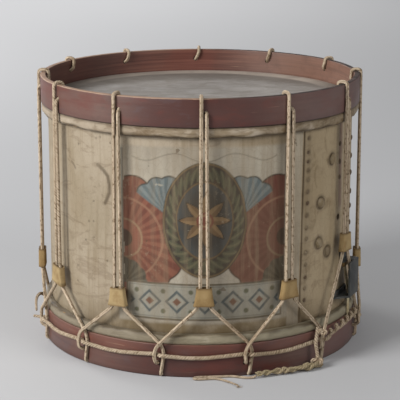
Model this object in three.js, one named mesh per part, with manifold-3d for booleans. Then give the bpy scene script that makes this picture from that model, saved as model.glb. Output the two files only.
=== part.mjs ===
// A rope-tensioned side drum standing on its bottom hoop, in millimetres, +Z up.
// The origin is the middle of the standing plane. Angle 0 is the front, -Y, and angles grow towards +X.

import * as THREE from 'three';
import { mergeVertices } from 'three/addons/utils/BufferGeometryUtils.js';
import Module from 'manifold-3d';

const wasm = await Module();
wasm.setup();

// Hoops, shell and skins
const hoopRadius = 205;
const hoopWall = 7;
const rimHeight = 343;
const topHoopHeight = 35;
const bottomHoopHeight = 41;
const hoopChamfer = 1;
const shellWall = 7;
const bearingEdge = 2.4;
const skin = 1;
const collarPlay = 0.7;
const fleshHoopHeight = 12;
const fleshHoopInset = 1;
const headRise = 6;
const lapOpening = 1;
const gap = 0.3;
const ringSides = 60;
const hoopInside = hoopRadius - hoopWall;
const shellRadius = hoopInside - collarPlay - skin - gap;

// Openings in the shell and hoops
const ventRadius = 3.5;
const ventAngle = 60.9;
const ventHeight = 173;
const seamAngle = 38.7;
const seamWidth = 1.4;
const seamDepth = 0.8;
const topHoleDrop = 18;
const bottomHoleRise = 17.5;
const holePlay = 1.5;
const notchPlay = 1;
const gateWidth = 12;
const gateHeight = 6;
const overrun = 4;

// Tension rope
const ropeDiameter = 5;
const ropeGap = 0.5;
const ropeSides = 8;
const pairs = 12;
const endGap = 0.3;
const crossingRise = 2;
const eyeHeight = 29;
const legSpreadAtTug = 10.2;
const legSpreadBelowTug = 15.2;
const bendBelowTug = 3;

// Leather tugs
const tugHeight = 22.6;
const tugLeather = 1.9;
const tugPlay = 0.6;
const tugCorner = 1.2;
// Lower edge of each tug as a share of the rim height, from the front round towards +X.
// The tug beside the strainer bracket has no share, because it is pushed up over the bracket.
const tugSeatShares = [0.268, 0.272, null, 0.245, 0.27, 0.28, 0.265, 0.275, 0.285, 0.252, 0.268, 0.248];
const tugOverBracket = 5;

// Drag rope
const chainDiameter = 9;
const braidDiameter = 10;
const tailDiameter = 3.2;

// Snares
const gutDiameter = 1.2;
const gutSpacing = 2.4;
const gutCount = 4;
const gutBend = 1;
const snareAngle = 65.7;
const buttWidth = 18;
const buttHeight = 8;
const buttThickness = 3;
const tieWidth = 13;
const tieHeight = 6;
const tieThickness = 4;
const tieStandoff = 4.5;

// Strainer bracket
const bracketAngle = 65.7;
const bracketFoot = 68.5;
const bracketHeight = 45.5;
const bracketTop = bracketFoot + bracketHeight;
const bracketWidth = 34;
const bracketReach = 17.4;
const bracketThickness = 2.4;
const topArmWidth = 16.5;
const topFootLeft = 10;
const topFootDepth = 6.7;
const topFootHeight = 13;
const bottomFootLeft = 33;
const bottomFootRight = 14.5;
const bottomFootHeight = 6.5;
const rivetRadius = 2.6;
const rivetRise = 1.6;

// Large studs by the seam: angle in degrees and share of the rim height
const studRadius = 7;
const studRise = 3;
const studSides = 12;
const studPlaceShares = [[55.5, 0.735], [46.9, 0.588], [46.7, 0.436], [54, 0.387]];

const ropeRadius = ropeDiameter / 2;
const topSeat = rimHeight - topHoopHeight;
const outsideRun = hoopRadius + ropeGap + ropeRadius;
const insideRun = hoopInside - ropeGap - ropeRadius;
const overlapRun = outsideRun + ropeDiameter + ropeGap;
const overRim = rimHeight + ropeGap + ropeRadius;
const pairAngle = 360 / pairs;
const crossingHeight = bottomHoopHeight + crossingRise;

const wood = new THREE.MeshStandardMaterial({ color: 0xb9ad8f, roughness: 0.75, metalness: 0 });
const hoopPaint = new THREE.MeshStandardMaterial({ color: 0x704038, roughness: 0.6, metalness: 0 });
const rawWood = new THREE.MeshStandardMaterial({ color: 0x9a7a52, roughness: 0.8, metalness: 0 });
const calfskin = new THREE.MeshStandardMaterial({ color: 0xa9a08c, roughness: 0.7, metalness: 0 });
const hemp = new THREE.MeshStandardMaterial({ color: 0xb7a281, roughness: 0.95, metalness: 0 });
const leather = new THREE.MeshStandardMaterial({ color: 0xb99a5e, roughness: 0.7, metalness: 0 });
const gut = new THREE.MeshStandardMaterial({ color: 0xc9b48a, roughness: 0.5, metalness: 0 });
const iron = new THREE.MeshStandardMaterial({ color: 0x3f4242, roughness: 0.55, metalness: 0.8 });

const drum = new THREE.Group();

// Closed mesh helpers
function bare(geometry) {
  const kept = new THREE.BufferGeometry();
  kept.setAttribute('position', geometry.getAttribute('position').clone());
  if (geometry.index) {
    kept.setIndex(geometry.index.clone());
  }
  return mergeVertices(kept, gap / 300);
}

function volumeOf(geometry) {
  const places = geometry.getAttribute('position');
  const order = geometry.index.array;
  const a = new THREE.Vector3();
  const b = new THREE.Vector3();
  const c = new THREE.Vector3();
  let sum = 0;
  for (let i = 0; i < order.length; i += 3) {
    a.fromBufferAttribute(places, order[i]);
    b.fromBufferAttribute(places, order[i + 1]);
    c.fromBufferAttribute(places, order[i + 2]);
    sum += a.dot(b.cross(c));
  }
  return sum / 6;
}

function closed(geometry) {
  const merged = bare(geometry);
  const order = [];
  const old = merged.index.array;
  for (let i = 0; i < old.length; i += 3) {
    const [p, q, r] = [old[i], old[i + 1], old[i + 2]];
    if (p !== q && q !== r && r !== p) {
      order.push(p, q, r);
    }
  }
  merged.setIndex(order);
  if (volumeOf(merged) < 0) {
    for (let i = 0; i < order.length; i += 3) {
      [order[i], order[i + 1]] = [order[i + 1], order[i]];
    }
    merged.setIndex(order);
  }
  return merged;
}

function solid(geometry) {
  const merged = closed(geometry);
  return new wasm.Manifold(new wasm.Mesh({
    numProp: 3,
    vertProperties: new Float32Array(merged.getAttribute('position').array),
    triVerts: new Uint32Array(merged.index.array),
  }));
}

function geometryOf(body) {
  const mesh = body.getMesh();
  const geometry = new THREE.BufferGeometry();
  geometry.setAttribute('position', new THREE.BufferAttribute(new Float32Array(mesh.vertProperties), 3));
  geometry.setIndex(Array.from(mesh.triVerts));
  return geometry;
}

function add(name, geometry, material) {
  const mesh = new THREE.Mesh(geometry, material);
  mesh.name = name;
  drum.add(mesh);
}

function cutAll(geometry, tools) {
  let body = solid(geometry);
  for (const tool of tools) {
    body = body.subtract(solid(tool));
  }
  return geometryOf(body);
}

// Places on the drum
function onDrum(angle, across, radius, height) {
  const turn = THREE.MathUtils.degToRad(angle) + across / outsideRun;
  return new THREE.Vector3(radius * Math.sin(turn), -radius * Math.cos(turn), height);
}

// A shape built with x across, y outwards and z up is carried to its angle on the drum
function seated(geometry, angle) {
  geometry.rotateZ(THREE.MathUtils.degToRad(angle) + Math.PI);
  return geometry;
}

function ring(profile) {
  const points = profile.map(([radius, height]) => new THREE.Vector2(radius, height));
  if (profile[0][0] > 0) {
    points.push(points[0].clone());
  }
  const geometry = new THREE.LatheGeometry(points, ringSides);
  geometry.rotateX(Math.PI / 2);
  return closed(geometry);
}

function slab(width, depth, height, across, outwards, up) {
  const geometry = new THREE.BoxGeometry(width, depth, height);
  geometry.translate(-across, outwards + depth / 2, up + height / 2);
  return geometry;
}

function radialHole(radius, angle, across, height) {
  const depth = hoopWall + shellWall + 2 * overrun;
  const geometry = new THREE.CylinderGeometry(radius, radius, depth, 10);
  geometry.translate(-across, hoopRadius + overrun - depth / 2, height);
  return seated(geometry, angle);
}

// A line of hand-placed points that a tube bends at
class Route extends THREE.Curve {
  constructor(points) {
    super();
    this.points = points;
  }

  getPoint(t, target = new THREE.Vector3()) {
    const place = t * (this.points.length - 1);
    const index = Math.min(Math.floor(place), this.points.length - 2);
    return target.lerpVectors(this.points[index], this.points[index + 1], place - index);
  }

  getTangent(t, target = new THREE.Vector3()) {
    const last = this.points.length - 1;
    const index = Math.round(t * last);
    const before = this.points[Math.max(index - 1, 0)];
    const here = this.points[index];
    const after = this.points[Math.min(index + 1, last)];
    const arriving = here.clone().sub(before).normalize();
    const leaving = after.clone().sub(here).normalize();
    return target.copy(arriving).add(leaving).normalize();
  }

  getPointAt(u, target) {
    return this.getPoint(u, target);
  }

  getTangentAt(u, target) {
    return this.getTangent(u, target);
  }

  getSpacedPoints(divisions) {
    return this.getPoints(divisions);
  }
}

function roundSection(radius) {
  const points = [];
  for (let i = 0; i < ropeSides; i += 1) {
    const turn = (2 * Math.PI * i) / ropeSides;
    points.push(new THREE.Vector2(radius * Math.cos(turn), radius * Math.sin(turn)));
  }
  return new THREE.Shape(points);
}

function tube(route, radius, steps) {
  const geometry = new THREE.ExtrudeGeometry(roundSection(radius), {
    steps,
    bevelEnabled: false,
    extrudePath: route,
  });
  return closed(geometry);
}

function bentTube(points, radius) {
  return tube(new Route(points), radius, points.length - 1);
}

function smoothTube(points, radius, steps) {
  return tube(new THREE.CatmullRomCurve3(points, false, 'centripetal'), radius, steps);
}

// Shell with its bearing edges, vent and seam
function makeShell() {
  const top = topSeat + headRise - skin - gap;
  const bottom = bottomHoopHeight - headRise + skin + gap;
  const inside = shellRadius - shellWall;
  const body = ring([
    [shellRadius, bottom + bearingEdge],
    [shellRadius, top - bearingEdge],
    [shellRadius - bearingEdge, top],
    [inside, top],
    [inside, bottom],
    [shellRadius - bearingEdge, bottom],
  ]);
  const vent = radialHole(ventRadius, ventAngle, 0, ventHeight);
  const seamFoot = bottomHoopHeight + fleshHoopHeight + gap;
  const seamTop = topSeat - fleshHoopHeight - gap;
  const seam = slab(seamWidth, seamDepth + overrun, seamTop - seamFoot, 0, shellRadius - seamDepth, seamFoot);
  return cutAll(body, [vent, seated(seam, seamAngle)]);
}

// A hoop with eased edges, its rope holes, and the notches that the rope passes in under the lower one
function hoopRing(foot, height) {
  const top = foot + height;
  return ring([
    [hoopRadius, foot + hoopChamfer],
    [hoopRadius, top - hoopChamfer],
    [hoopRadius - hoopChamfer, top],
    [hoopInside, top],
    [hoopInside, foot],
    [hoopRadius - hoopChamfer, foot],
  ]);
}

const holeRadius = ropeRadius + holePlay;
const topHoleAcross = ropeRadius + ropeGap;
const bottomHoleAcross = -ropeRadius;
const notchAcross = ropeRadius * 0.6;
const topHoleHeight = rimHeight - topHoleDrop;

function makeTopHoop() {
  const tools = [];
  for (let i = 0; i < pairs; i += 1) {
    tools.push(radialHole(holeRadius, i * pairAngle, topHoleAcross, topHoleHeight));
  }
  return cutAll(hoopRing(topSeat, topHoopHeight), tools);
}

const notchDepth = ropeDiameter + notchPlay;
const gateFoot = bottomHoopHeight - headRise - gap - gutDiameter - (gateHeight - gutDiameter) / 2;

function radialSlot(width, height, across, foot, angle) {
  const depth = hoopWall + 2 * overrun;
  return seated(slab(width, depth, height, across, hoopInside - overrun, foot), angle);
}

function makeBottomHoop() {
  const tools = [];
  const notchWidth = ropeDiameter + 2 * notchPlay;
  for (let i = 0; i < pairs; i += 1) {
    const angle = (i + 0.5) * pairAngle;
    tools.push(radialHole(holeRadius, angle, bottomHoleAcross, bottomHoleRise));
    tools.push(radialSlot(notchWidth, notchDepth + overrun, notchAcross, -overrun, angle));
  }
  tools.push(radialSlot(gateWidth, gateHeight, 0, gateFoot, snareAngle));
  tools.push(radialSlot(gateWidth, gateHeight, 0, gateFoot, snareAngle + 180));
  return cutAll(hoopRing(0, bottomHoopHeight), tools);
}

// A skin stretched over the bearing edge and lapped round its flesh hoop.
// Heights are measured from the counterhoop's seat, outwards from the drum's middle.
const collarInside = shellRadius + gap;
const collarOutside = collarInside + skin;
const lapOutside = hoopRadius - fleshHoopInset;
const lapFoot = -gap - fleshHoopHeight;

function makeHead(seat, outwards) {
  const edge = shellRadius - bearingEdge;
  const fold = headRise - bearingEdge;
  const profile = [
    [0, headRise],
    [edge + skin, headRise],
    [collarOutside, fold],
    [collarOutside, lapFoot + skin],
    [lapOutside - skin, lapFoot + skin],
    [lapOutside - skin, -gap - skin],
    [collarOutside + lapOpening, -gap - skin],
    [collarOutside + lapOpening, -gap],
    [lapOutside, -gap],
    [lapOutside, lapFoot],
    [collarInside, lapFoot],
    [collarInside, fold - gap],
    [edge, headRise - skin],
    [0, headRise - skin],
  ];
  return ring(profile.map(([radius, height]) => [radius, seat + outwards * height]));
}

function makeFleshHoop(seat, outwards) {
  const inside = collarOutside + gap;
  const outside = lapOutside - skin - gap;
  const top = -2 * gap - skin;
  const foot = lapFoot + skin + gap;
  const profile = [[outside, foot], [outside, top], [inside, top], [inside, foot]];
  return ring(profile.map(([radius, height]) => [radius, seat + outwards * height]));
}

// Tension rope: one line from hoop to hoop all the way round
const corner = 0.414 * (ropeRadius + ropeGap);
const turnIn = 0.7 * ropeRadius;
const eyeHalf = ropeDiameter;
const notchRun = notchDepth / 2;

function tugFoot(index) {
  const share = tugSeatShares[(index + pairs) % pairs];
  return share === null ? bracketTop + topFootHeight + tugOverBracket : share * rimHeight;
}

// The strand that comes out of the lower hoop's hole and climbs to the pair on its right
function risingStrand(index) {
  const low = (index - 0.5) * pairAngle;
  const high = index * pairAngle;
  const foot = tugFoot(index);
  const hole = bottomHoleAcross;
  return [
    onDrum(low, hole, insideRun, bottomHoleRise - turnIn),
    onDrum(low, hole, insideRun + turnIn, bottomHoleRise),
    onDrum(low, hole, outsideRun, bottomHoleRise),
    onDrum(low, hole - 0.6 * ropeRadius, overlapRun, bottomHoleRise + 1.6 * ropeRadius),
    onDrum(low, -eyeHalf, overlapRun, eyeHeight - ropeRadius),
    onDrum(low, -eyeHalf, overlapRun, eyeHeight + ropeRadius),
    onDrum(low, -0.7 * eyeHalf, overlapRun, crossingHeight - 1.2 * eyeHalf),
    onDrum(low, 0, overlapRun, crossingHeight),
    onDrum(high, -legSpreadBelowTug / 2, outsideRun, foot - bendBelowTug),
    onDrum(high, -legSpreadAtTug / 2, outsideRun, foot + tugHeight),
    onDrum(high, -topHoleAcross, outsideRun, rimHeight + corner),
    onDrum(high, -topHoleAcross, hoopRadius + corner, overRim),
    onDrum(high, -topHoleAcross, hoopInside - corner, overRim),
    onDrum(high, -topHoleAcross, insideRun, rimHeight + corner),
    onDrum(high, topHoleAcross, insideRun, topHoleHeight + turnIn),
    onDrum(high, topHoleAcross, insideRun + turnIn, topHoleHeight),
  ];
}

// The strand that comes out of the upper hoop's hole and falls to the crossing on its right
function fallingStrand(index) {
  const high = index * pairAngle;
  const low = (index + 0.5) * pairAngle;
  const foot = tugFoot(index);
  return [
    onDrum(high, topHoleAcross, outsideRun - turnIn, topHoleHeight),
    onDrum(high, topHoleAcross, outsideRun, topHoleHeight - turnIn),
    onDrum(high, legSpreadAtTug / 2, outsideRun, foot + tugHeight),
    onDrum(high, legSpreadBelowTug / 2, outsideRun, foot - bendBelowTug),
    onDrum(low, 0, outsideRun, crossingHeight),
    onDrum(low, 0.7 * eyeHalf, outsideRun, crossingHeight - 1.2 * eyeHalf),
    onDrum(low, eyeHalf, outsideRun, eyeHeight + ropeRadius),
    onDrum(low, eyeHalf, outsideRun, eyeHeight - ropeRadius),
    onDrum(low, notchAcross, outsideRun, notchRun + turnIn),
    onDrum(low, notchAcross, outsideRun - turnIn, notchRun),
    onDrum(low, notchAcross, insideRun + turnIn, notchRun),
    onDrum(low, notchAcross, insideRun, notchRun + turnIn),
  ];
}

// The rope starts and ends behind the lower hoop at this pair's left-hand crossing
const ropeStart = -pairs / 6;

function makeTensionRope() {
  const points = [];
  for (let i = 0; i < pairs; i += 1) {
    points.push(...risingStrand(ropeStart + i), ...fallingStrand(ropeStart + i));
  }
  const last = points[points.length - 1];
  const start = points[0];
  const end = start.clone().sub(last).setLength(start.distanceTo(last) - ropeDiameter - endGap);
  points.push(last.clone().add(end));
  return bentTube(points, ropeRadius);
}

// Leather tug: a tapering sleeve round both strands of a pair
function tugBlock(halfTop, halfFoot, depth, foot, top) {
  const slope = (halfTop - halfFoot) / tugHeight;
  const lowHalf = halfFoot + slope * foot;
  const highHalf = halfFoot + slope * top;
  const outline = new THREE.Shape([
    new THREE.Vector2(-lowHalf, foot),
    new THREE.Vector2(lowHalf, foot),
    new THREE.Vector2(highHalf, top),
    new THREE.Vector2(-highHalf, top),
  ]);
  const geometry = new THREE.ExtrudeGeometry(outline, { depth, steps: 1, bevelEnabled: false });
  geometry.rotateX(Math.PI / 2);
  geometry.translate(0, outsideRun + depth / 2, 0);
  return geometry;
}

function easedTugBlock(halfTop, halfFoot, depth, foot, top) {
  const wide = solid(tugBlock(halfTop, halfFoot, depth - 2 * tugCorner, foot, top));
  const deep = solid(tugBlock(halfTop - tugCorner, halfFoot - tugCorner, depth, foot, top));
  return wasm.Manifold.hull([wide, deep]);
}

function makeTug(index) {
  const cavityTop = legSpreadAtTug / 2 + ropeRadius + tugPlay;
  const cavityFoot = legSpreadBelowTug / 2 + ropeRadius + tugPlay;
  const cavityDepth = ropeDiameter + 2 * ropeGap;
  const depth = cavityDepth + 2 * tugLeather;
  const outer = easedTugBlock(cavityTop + tugLeather, cavityFoot + tugLeather, depth, 0, tugHeight);
  const inner = solid(tugBlock(cavityTop, cavityFoot, cavityDepth, -overrun, tugHeight + overrun));
  const geometry = geometryOf(outer.subtract(inner));
  geometry.translate(0, 0, tugFoot(index));
  return seated(geometry, index * pairAngle);
}

// Drag rope: it threads each eye behind the rising strand and over the falling one
const dragRun = outsideRun + ropeGap;

function throughEye(index, height) {
  const angle = (index + 0.5) * pairAngle;
  const half = ropeRadius;
  return [
    onDrum(angle, -2.4 * half, outsideRun, height),
    onDrum(angle, -half, outsideRun + 0.08 * half, height),
    onDrum(angle, half, overlapRun - 0.08 * half, height),
    onDrum(angle, 2.6 * half, overlapRun, height),
    onDrum(angle, 7 * half, dragRun + 0.1 * half, height - 0.8 * half),
    onDrum(angle, 14 * half, dragRun, height - 1.2 * half),
    onDrum(angle, 23 * half, dragRun, height - 1.1 * half),
    onDrum(angle, 32 * half, dragRun, height - 0.4 * half),
  ];
}

// Its ends stand off the drum beside the left-hand eye. Their angles are measured back from that eye.
const loopReach = 9.5;
const loopAngles = [20, 16, 13, 10.5, 8, 6.5];
const stubReach = 13.5;
const stubAngles = [5.4, 4.2, 3];

function makeDragFront() {
  const left = (ropeStart - 0.5) * pairAngle;
  const points = [
    onDrum(left - stubAngles[0], 0, outsideRun + stubReach, eyeHeight - 0.9 * ropeRadius),
    onDrum(left - stubAngles[1], 0, outsideRun + 0.5 * stubReach, eyeHeight - ropeRadius),
    onDrum(left - stubAngles[2], 0, outsideRun + 0.12 * stubReach, eyeHeight - 0.8 * ropeRadius),
  ];
  for (let i = ropeStart - 1; i < 1; i += 1) {
    points.push(...throughEye(i, eyeHeight));
  }
  points.push(...throughEye(1, eyeHeight).slice(0, 4));
  const right = 1.5 * pairAngle;
  points.push(onDrum(right, 4.7 * ropeRadius, overlapRun - gap, eyeHeight + ropeRadius));
  return bentTube(points, ropeRadius);
}

const chainRun = hoopRadius + 2 * gutDiameter + ropeGap + chainDiameter / 2;
const chainLeadAngle = 3.4;
const chainSpanAngle = 21;
const chainStart = 1.5 * pairAngle + chainLeadAngle;
const chainEnd = chainStart + chainSpanAngle;
const chainRiseShares = [0.77, 0.88, 0.96, 1.02, 1.05, 1.06];

function makeDragChain() {
  const points = chainRiseShares.map((share, i) => {
    const along = i / (chainRiseShares.length - 1);
    return onDrum(chainStart + along * (chainEnd - chainStart), 0, chainRun, share * bottomHoopHeight);
  });
  return smoothTube(points, chainDiameter / 2, 10);
}

function makeDragBack() {
  const height = chainRiseShares[chainRiseShares.length - 1] * bottomHoopHeight;
  const points = [
    onDrum(chainEnd, 0.8 * ropeRadius, chainRun, height - 0.2 * ropeRadius),
    onDrum(chainEnd, 1.6 * ropeRadius, chainRun - 0.5 * ropeRadius, height - 0.8 * ropeRadius),
    onDrum(chainEnd, 3.5 * ropeRadius, outsideRun, eyeHeight + 2 * ropeRadius),
    onDrum(chainEnd, 4.8 * ropeRadius, outsideRun, eyeHeight + 0.7 * ropeRadius),
  ];
  points.push(...throughEye(2, eyeHeight).slice(1));
  for (let i = 3; i < pairs - 4; i += 1) {
    points.push(...throughEye(i, eyeHeight));
  }
  const left = (ropeStart - 0.5) * pairAngle;
  points.push(...throughEye(pairs - 4, eyeHeight).slice(0, 5));
  points.push(
    onDrum(left - loopAngles[0], 0, outsideRun + 0.1 * loopReach, crossingHeight - 8 * ropeGap),
    onDrum(left - loopAngles[1], 0, outsideRun + 0.5 * loopReach, crossingHeight + 0.5 * ropeDiameter),
    onDrum(left - loopAngles[2], 0, outsideRun + 0.85 * loopReach, crossingHeight + 0.3 * ropeDiameter),
    onDrum(left - loopAngles[3], 0, outsideRun + loopReach, crossingHeight - 0.5 * ropeDiameter),
    onDrum(left - loopAngles[4], 0, outsideRun + loopReach, crossingHeight - 1.5 * ropeDiameter),
    onDrum(left - loopAngles[5], 0, outsideRun + loopReach, crossingHeight - 2 * ropeDiameter),
  );
  return bentTube(points, ropeRadius);
}

// Free end of the drag rope: it drops from the right-hand eye, is braided along the floor,
// and its last strand follows the hoop's foot, turns back and ends on the floor
const dropRoute = [
  [142.7, -153.5, 46.5],
  [142.2, -155.6, 43],
  [141, -159.6, 38],
  [139.8, -162.7, 32],
  [139.7, -163, 26.5],
  [140.6, -163, 21],
  [141.7, -164.1, 15.5],
  [142, -165.7, 10.2],
];

const braidRoute = [
  [143.4, -167.4, 5.2],
  [139.4, -173.4, 5.2],
  [134, -179.2, 5.2],
  [126.8, -183.6, 5.2],
  [118.9, -187, 5.2],
  [109.6, -190.4, 5.2],
  [100, -193.8, 5.2],
  [90.6, -197.2, 5.2],
  [81.2, -200.8, 5.2],
  [72, -204.6, 5.2],
  [63.8, -208.2, 5.2],
];

const tailRoute = [
  [63.2, -208.9, 3.4],
  [59.6, -210.3, 2],
  [54.5, -211.2, 1.9],
  [48, -210.4, 1.9],
  [40.5, -207.4, 1.9],
  [33, -204.8, 1.9],
  [25.5, -205.6, 1.9],
  [17.5, -206.4, 1.9],
  [9.5, -207, 1.9],
  [1.5, -207.3, 1.9],
  [-5.5, -207.8, 1.9],
  [-10.8, -209.2, 1.9],
  [-13, -212, 1.9],
  [-10.8, -214.6, 1.9],
  [-5.5, -215.2, 1.9],
  [1.5, -214, 1.9],
  [8.5, -212.6, 1.9],
  [14.5, -213, 1.9],
  [19.6, -215.9, 1.9],
  [25, -220.4, 1.9],
  [30, -225.6, 1.9],
  [34.9, -230.9, 1.9],
  [38.6, -235.6, 1.9],
];

function routePoints(route) {
  return route.map(([x, y, z]) => new THREE.Vector3(x, y, z));
}

// Snares: gut under the lower head, out of a gate at each end
const gutHeight = bottomHoopHeight - headRise - gap - gutDiameter / 2;
const gutOutside = hoopRadius + gap + gutDiameter / 2;
const tieRun = shellRadius + tieStandoff;
const tieFoot = bracketTop - bracketThickness - gap - tieHeight;
const leanFoot = bracketFoot + bracketThickness + gutBend;

function makeGut(index) {
  const offset = (index - (gutCount - 1) / 2) * gutSpacing;
  const half = (away) => Math.sqrt(away * away - offset * offset);
  const points = [
    new THREE.Vector3(offset, -half(hoopRadius), gutHeight),
    new THREE.Vector3(offset, 0, gutHeight),
    new THREE.Vector3(offset, half(gutOutside) - gutBend, gutHeight),
    new THREE.Vector3(offset, half(gutOutside), gutHeight + gutBend),
    new THREE.Vector3(offset, half(gutOutside), leanFoot),
    new THREE.Vector3(offset, half(tieRun), tieFoot - gap),
  ];
  const geometry = bentTube(points, gutDiameter / 2);
  return seated(geometry, snareAngle);
}

// Strainer bracket: a plate held off the shell by two flanges, whose feet are bent to the shell.
// It is drawn in a frame with x to the left, y outwards and z up.
const footInside = shellRadius + gap;
const footOutside = footInside + bracketThickness;
const plateOutside = shellRadius + bracketReach;
const footSteps = 8;

// Points along an arc of the shell, from one distance right of the bracket's middle to another
function arc(radius, from, to) {
  const points = [];
  for (let i = 0; i <= footSteps; i += 1) {
    const turn = (from + ((to - from) * i) / footSteps) / footInside;
    points.push(new THREE.Vector2(-radius * Math.sin(turn), radius * Math.cos(turn)));
  }
  return points;
}

function flatPiece(points, height, foot) {
  const shape = new THREE.Shape(points);
  const geometry = new THREE.ExtrudeGeometry(shape, { depth: height, steps: 1, bevelEnabled: false });
  geometry.translate(0, 0, foot);
  return geometry;
}

function bentFoot(from, to, height, foot) {
  return flatPiece([...arc(footInside, from, to), ...arc(footOutside, to, from)], height, foot);
}

function makeBracket() {
  const half = bracketWidth / 2;
  const plateInside = plateOutside - bracketThickness;
  const seam = plateOutside - bracketThickness / 2;
  const armLeft = half - topArmWidth;
  const ledge = arc(footInside + topFootDepth, -topFootLeft, armLeft);
  const topFlange = [
    ...arc(footInside, half, -topFootLeft),
    ...ledge,
    new THREE.Vector2(-armLeft, seam),
    new THREE.Vector2(-half, seam),
  ];
  const bottomFlange = [
    ...arc(footInside, bottomFootRight, -bottomFootLeft),
    new THREE.Vector2(half, seam),
    new THREE.Vector2(-bottomFootRight, seam),
  ];
  const parts = [
    slab(bracketWidth, bracketThickness, bracketHeight, 0, plateInside, bracketFoot),
    flatPiece(topFlange, bracketThickness, bracketTop - bracketThickness),
    flatPiece(bottomFlange, bracketThickness, bracketFoot),
    bentFoot(-topFootLeft, half, topFootHeight + bracketThickness, bracketTop - bracketThickness),
    bentFoot(-bottomFootLeft, bottomFootRight, bottomFootHeight + bracketThickness, bracketFoot),
  ];
  let body = solid(parts[0]);
  for (const part of parts.slice(1)) {
    body = body.add(solid(part));
  }
  const slotWidth = gutSpacing * (gutCount - 1) + gutDiameter + 2 * tugPlay;
  const slotDepth = gutDiameter + 2 * tugPlay;
  const slotAcross = THREE.MathUtils.degToRad(snareAngle - bracketAngle) * gutOutside;
  const slotFoot = gutOutside - slotDepth / 2;
  const slot = slab(slotWidth, slotDepth, bracketThickness + 2 * overrun, slotAcross, slotFoot,
    bracketFoot - overrun);
  return seated(geometryOf(body.subtract(solid(slot))), bracketAngle);
}

// Domed heads of rivets and studs, flat behind
function makeDome(radius, rise, across, outwards, height, angle) {
  const profile = [
    [0, 0],
    [radius, 0],
    [radius * 0.92, rise * 0.45],
    [radius * 0.62, rise * 0.85],
    [0, rise],
  ];
  const points = profile.map(([r, z]) => new THREE.Vector2(r, z));
  const geometry = new THREE.LatheGeometry(points, studSides);
  geometry.translate(-across, outwards, height);
  return seated(closed(geometry), angle);
}

function makeButt() {
  const foot = gutHeight - gutDiameter / 2 - gap;
  const geometry = slab(buttWidth, buttThickness, buttHeight, 0, hoopRadius + gap, foot);
  return seated(closed(geometry), snareAngle + 180);
}

function makeTie() {
  const geometry = slab(tieWidth, tieThickness, tieHeight, 0, tieRun - tieThickness / 2, tieFoot);
  return seated(closed(geometry), snareAngle);
}

// Assembly
add('shell', makeShell(), wood);
add('top_counterhoop', makeTopHoop(), hoopPaint);
add('bottom_counterhoop', makeBottomHoop(), hoopPaint);
add('top_flesh_hoop', makeFleshHoop(topSeat, 1), rawWood);
add('bottom_flesh_hoop', makeFleshHoop(bottomHoopHeight, -1), rawWood);
add('batter_head', makeHead(topSeat, 1), calfskin);
add('snare_head', makeHead(bottomHoopHeight, -1), calfskin);
add('tension_rope', makeTensionRope(), hemp);
for (let i = 0; i < pairs; i += 1) {
  add(`tug_${String(i + 1).padStart(2, '0')}`, makeTug(i), leather);
}
add('drag_rope_front', makeDragFront(), hemp);
add('drag_rope_chain', makeDragChain(), hemp);
add('drag_rope_back', makeDragBack(), hemp);
add('drag_rope_drop', smoothTube(routePoints(dropRoute), ropeRadius, 8), hemp);
add('drag_rope_braid', smoothTube(routePoints(braidRoute), braidDiameter / 2, 10), hemp);
add('drag_rope_tail', smoothTube(routePoints(tailRoute), tailDiameter / 2, 40), hemp);
add('strainer_bracket', makeBracket(), iron);
const rivetSeat = footOutside + gap;
const topRivetHeight = bracketTop + topFootHeight / 2;
const bottomRivetHeight = bracketFoot + bracketThickness + bottomFootHeight / 2;
const rivetPlaces = [
  [-topFootLeft + 2 * rivetRadius, topRivetHeight],
  [bracketWidth / 2 - 2 * rivetRadius, topRivetHeight],
  [-bottomFootLeft + 2 * rivetRadius, bottomRivetHeight],
  [bottomFootRight - 2 * rivetRadius, bottomRivetHeight],
];
rivetPlaces.forEach(([across, height], i) => {
  const angle = bracketAngle + THREE.MathUtils.radToDeg(across / footInside);
  const head = makeDome(rivetRadius, rivetRise, 0, rivetSeat, height, angle);
  add(`bracket_rivet_${i + 1}`, head, iron);
});
studPlaceShares.forEach(([angle, share], i) => {
  const height = share * rimHeight;
  add(`seam_stud_${i + 1}`, makeDome(studRadius, studRise, 0, shellRadius + gap, height, angle), iron);
});
for (let i = 0; i < gutCount; i += 1) {
  add(`snare_gut_${i + 1}`, makeGut(i), gut);
}
add('snare_butt', makeButt(), leather);
add('snare_tie', makeTie(), leather);

export default drum;
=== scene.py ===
import math

import bmesh
import bpy
import numpy as np
from mathutils import Matrix, Vector, noise as lattice


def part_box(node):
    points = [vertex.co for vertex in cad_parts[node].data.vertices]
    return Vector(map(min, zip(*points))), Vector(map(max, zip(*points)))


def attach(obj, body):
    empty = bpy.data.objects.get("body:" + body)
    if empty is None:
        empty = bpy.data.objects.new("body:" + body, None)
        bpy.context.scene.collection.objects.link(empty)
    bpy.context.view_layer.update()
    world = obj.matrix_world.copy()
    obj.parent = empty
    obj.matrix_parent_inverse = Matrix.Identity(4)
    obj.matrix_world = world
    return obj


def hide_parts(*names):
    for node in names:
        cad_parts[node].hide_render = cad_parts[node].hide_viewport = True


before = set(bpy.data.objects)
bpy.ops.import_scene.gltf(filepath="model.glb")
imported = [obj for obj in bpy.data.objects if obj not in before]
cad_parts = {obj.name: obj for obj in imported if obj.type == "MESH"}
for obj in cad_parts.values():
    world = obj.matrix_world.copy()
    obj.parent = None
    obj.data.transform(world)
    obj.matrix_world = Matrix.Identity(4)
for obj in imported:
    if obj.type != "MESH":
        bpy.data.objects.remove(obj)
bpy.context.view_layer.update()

scene = bpy.context.scene

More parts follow.
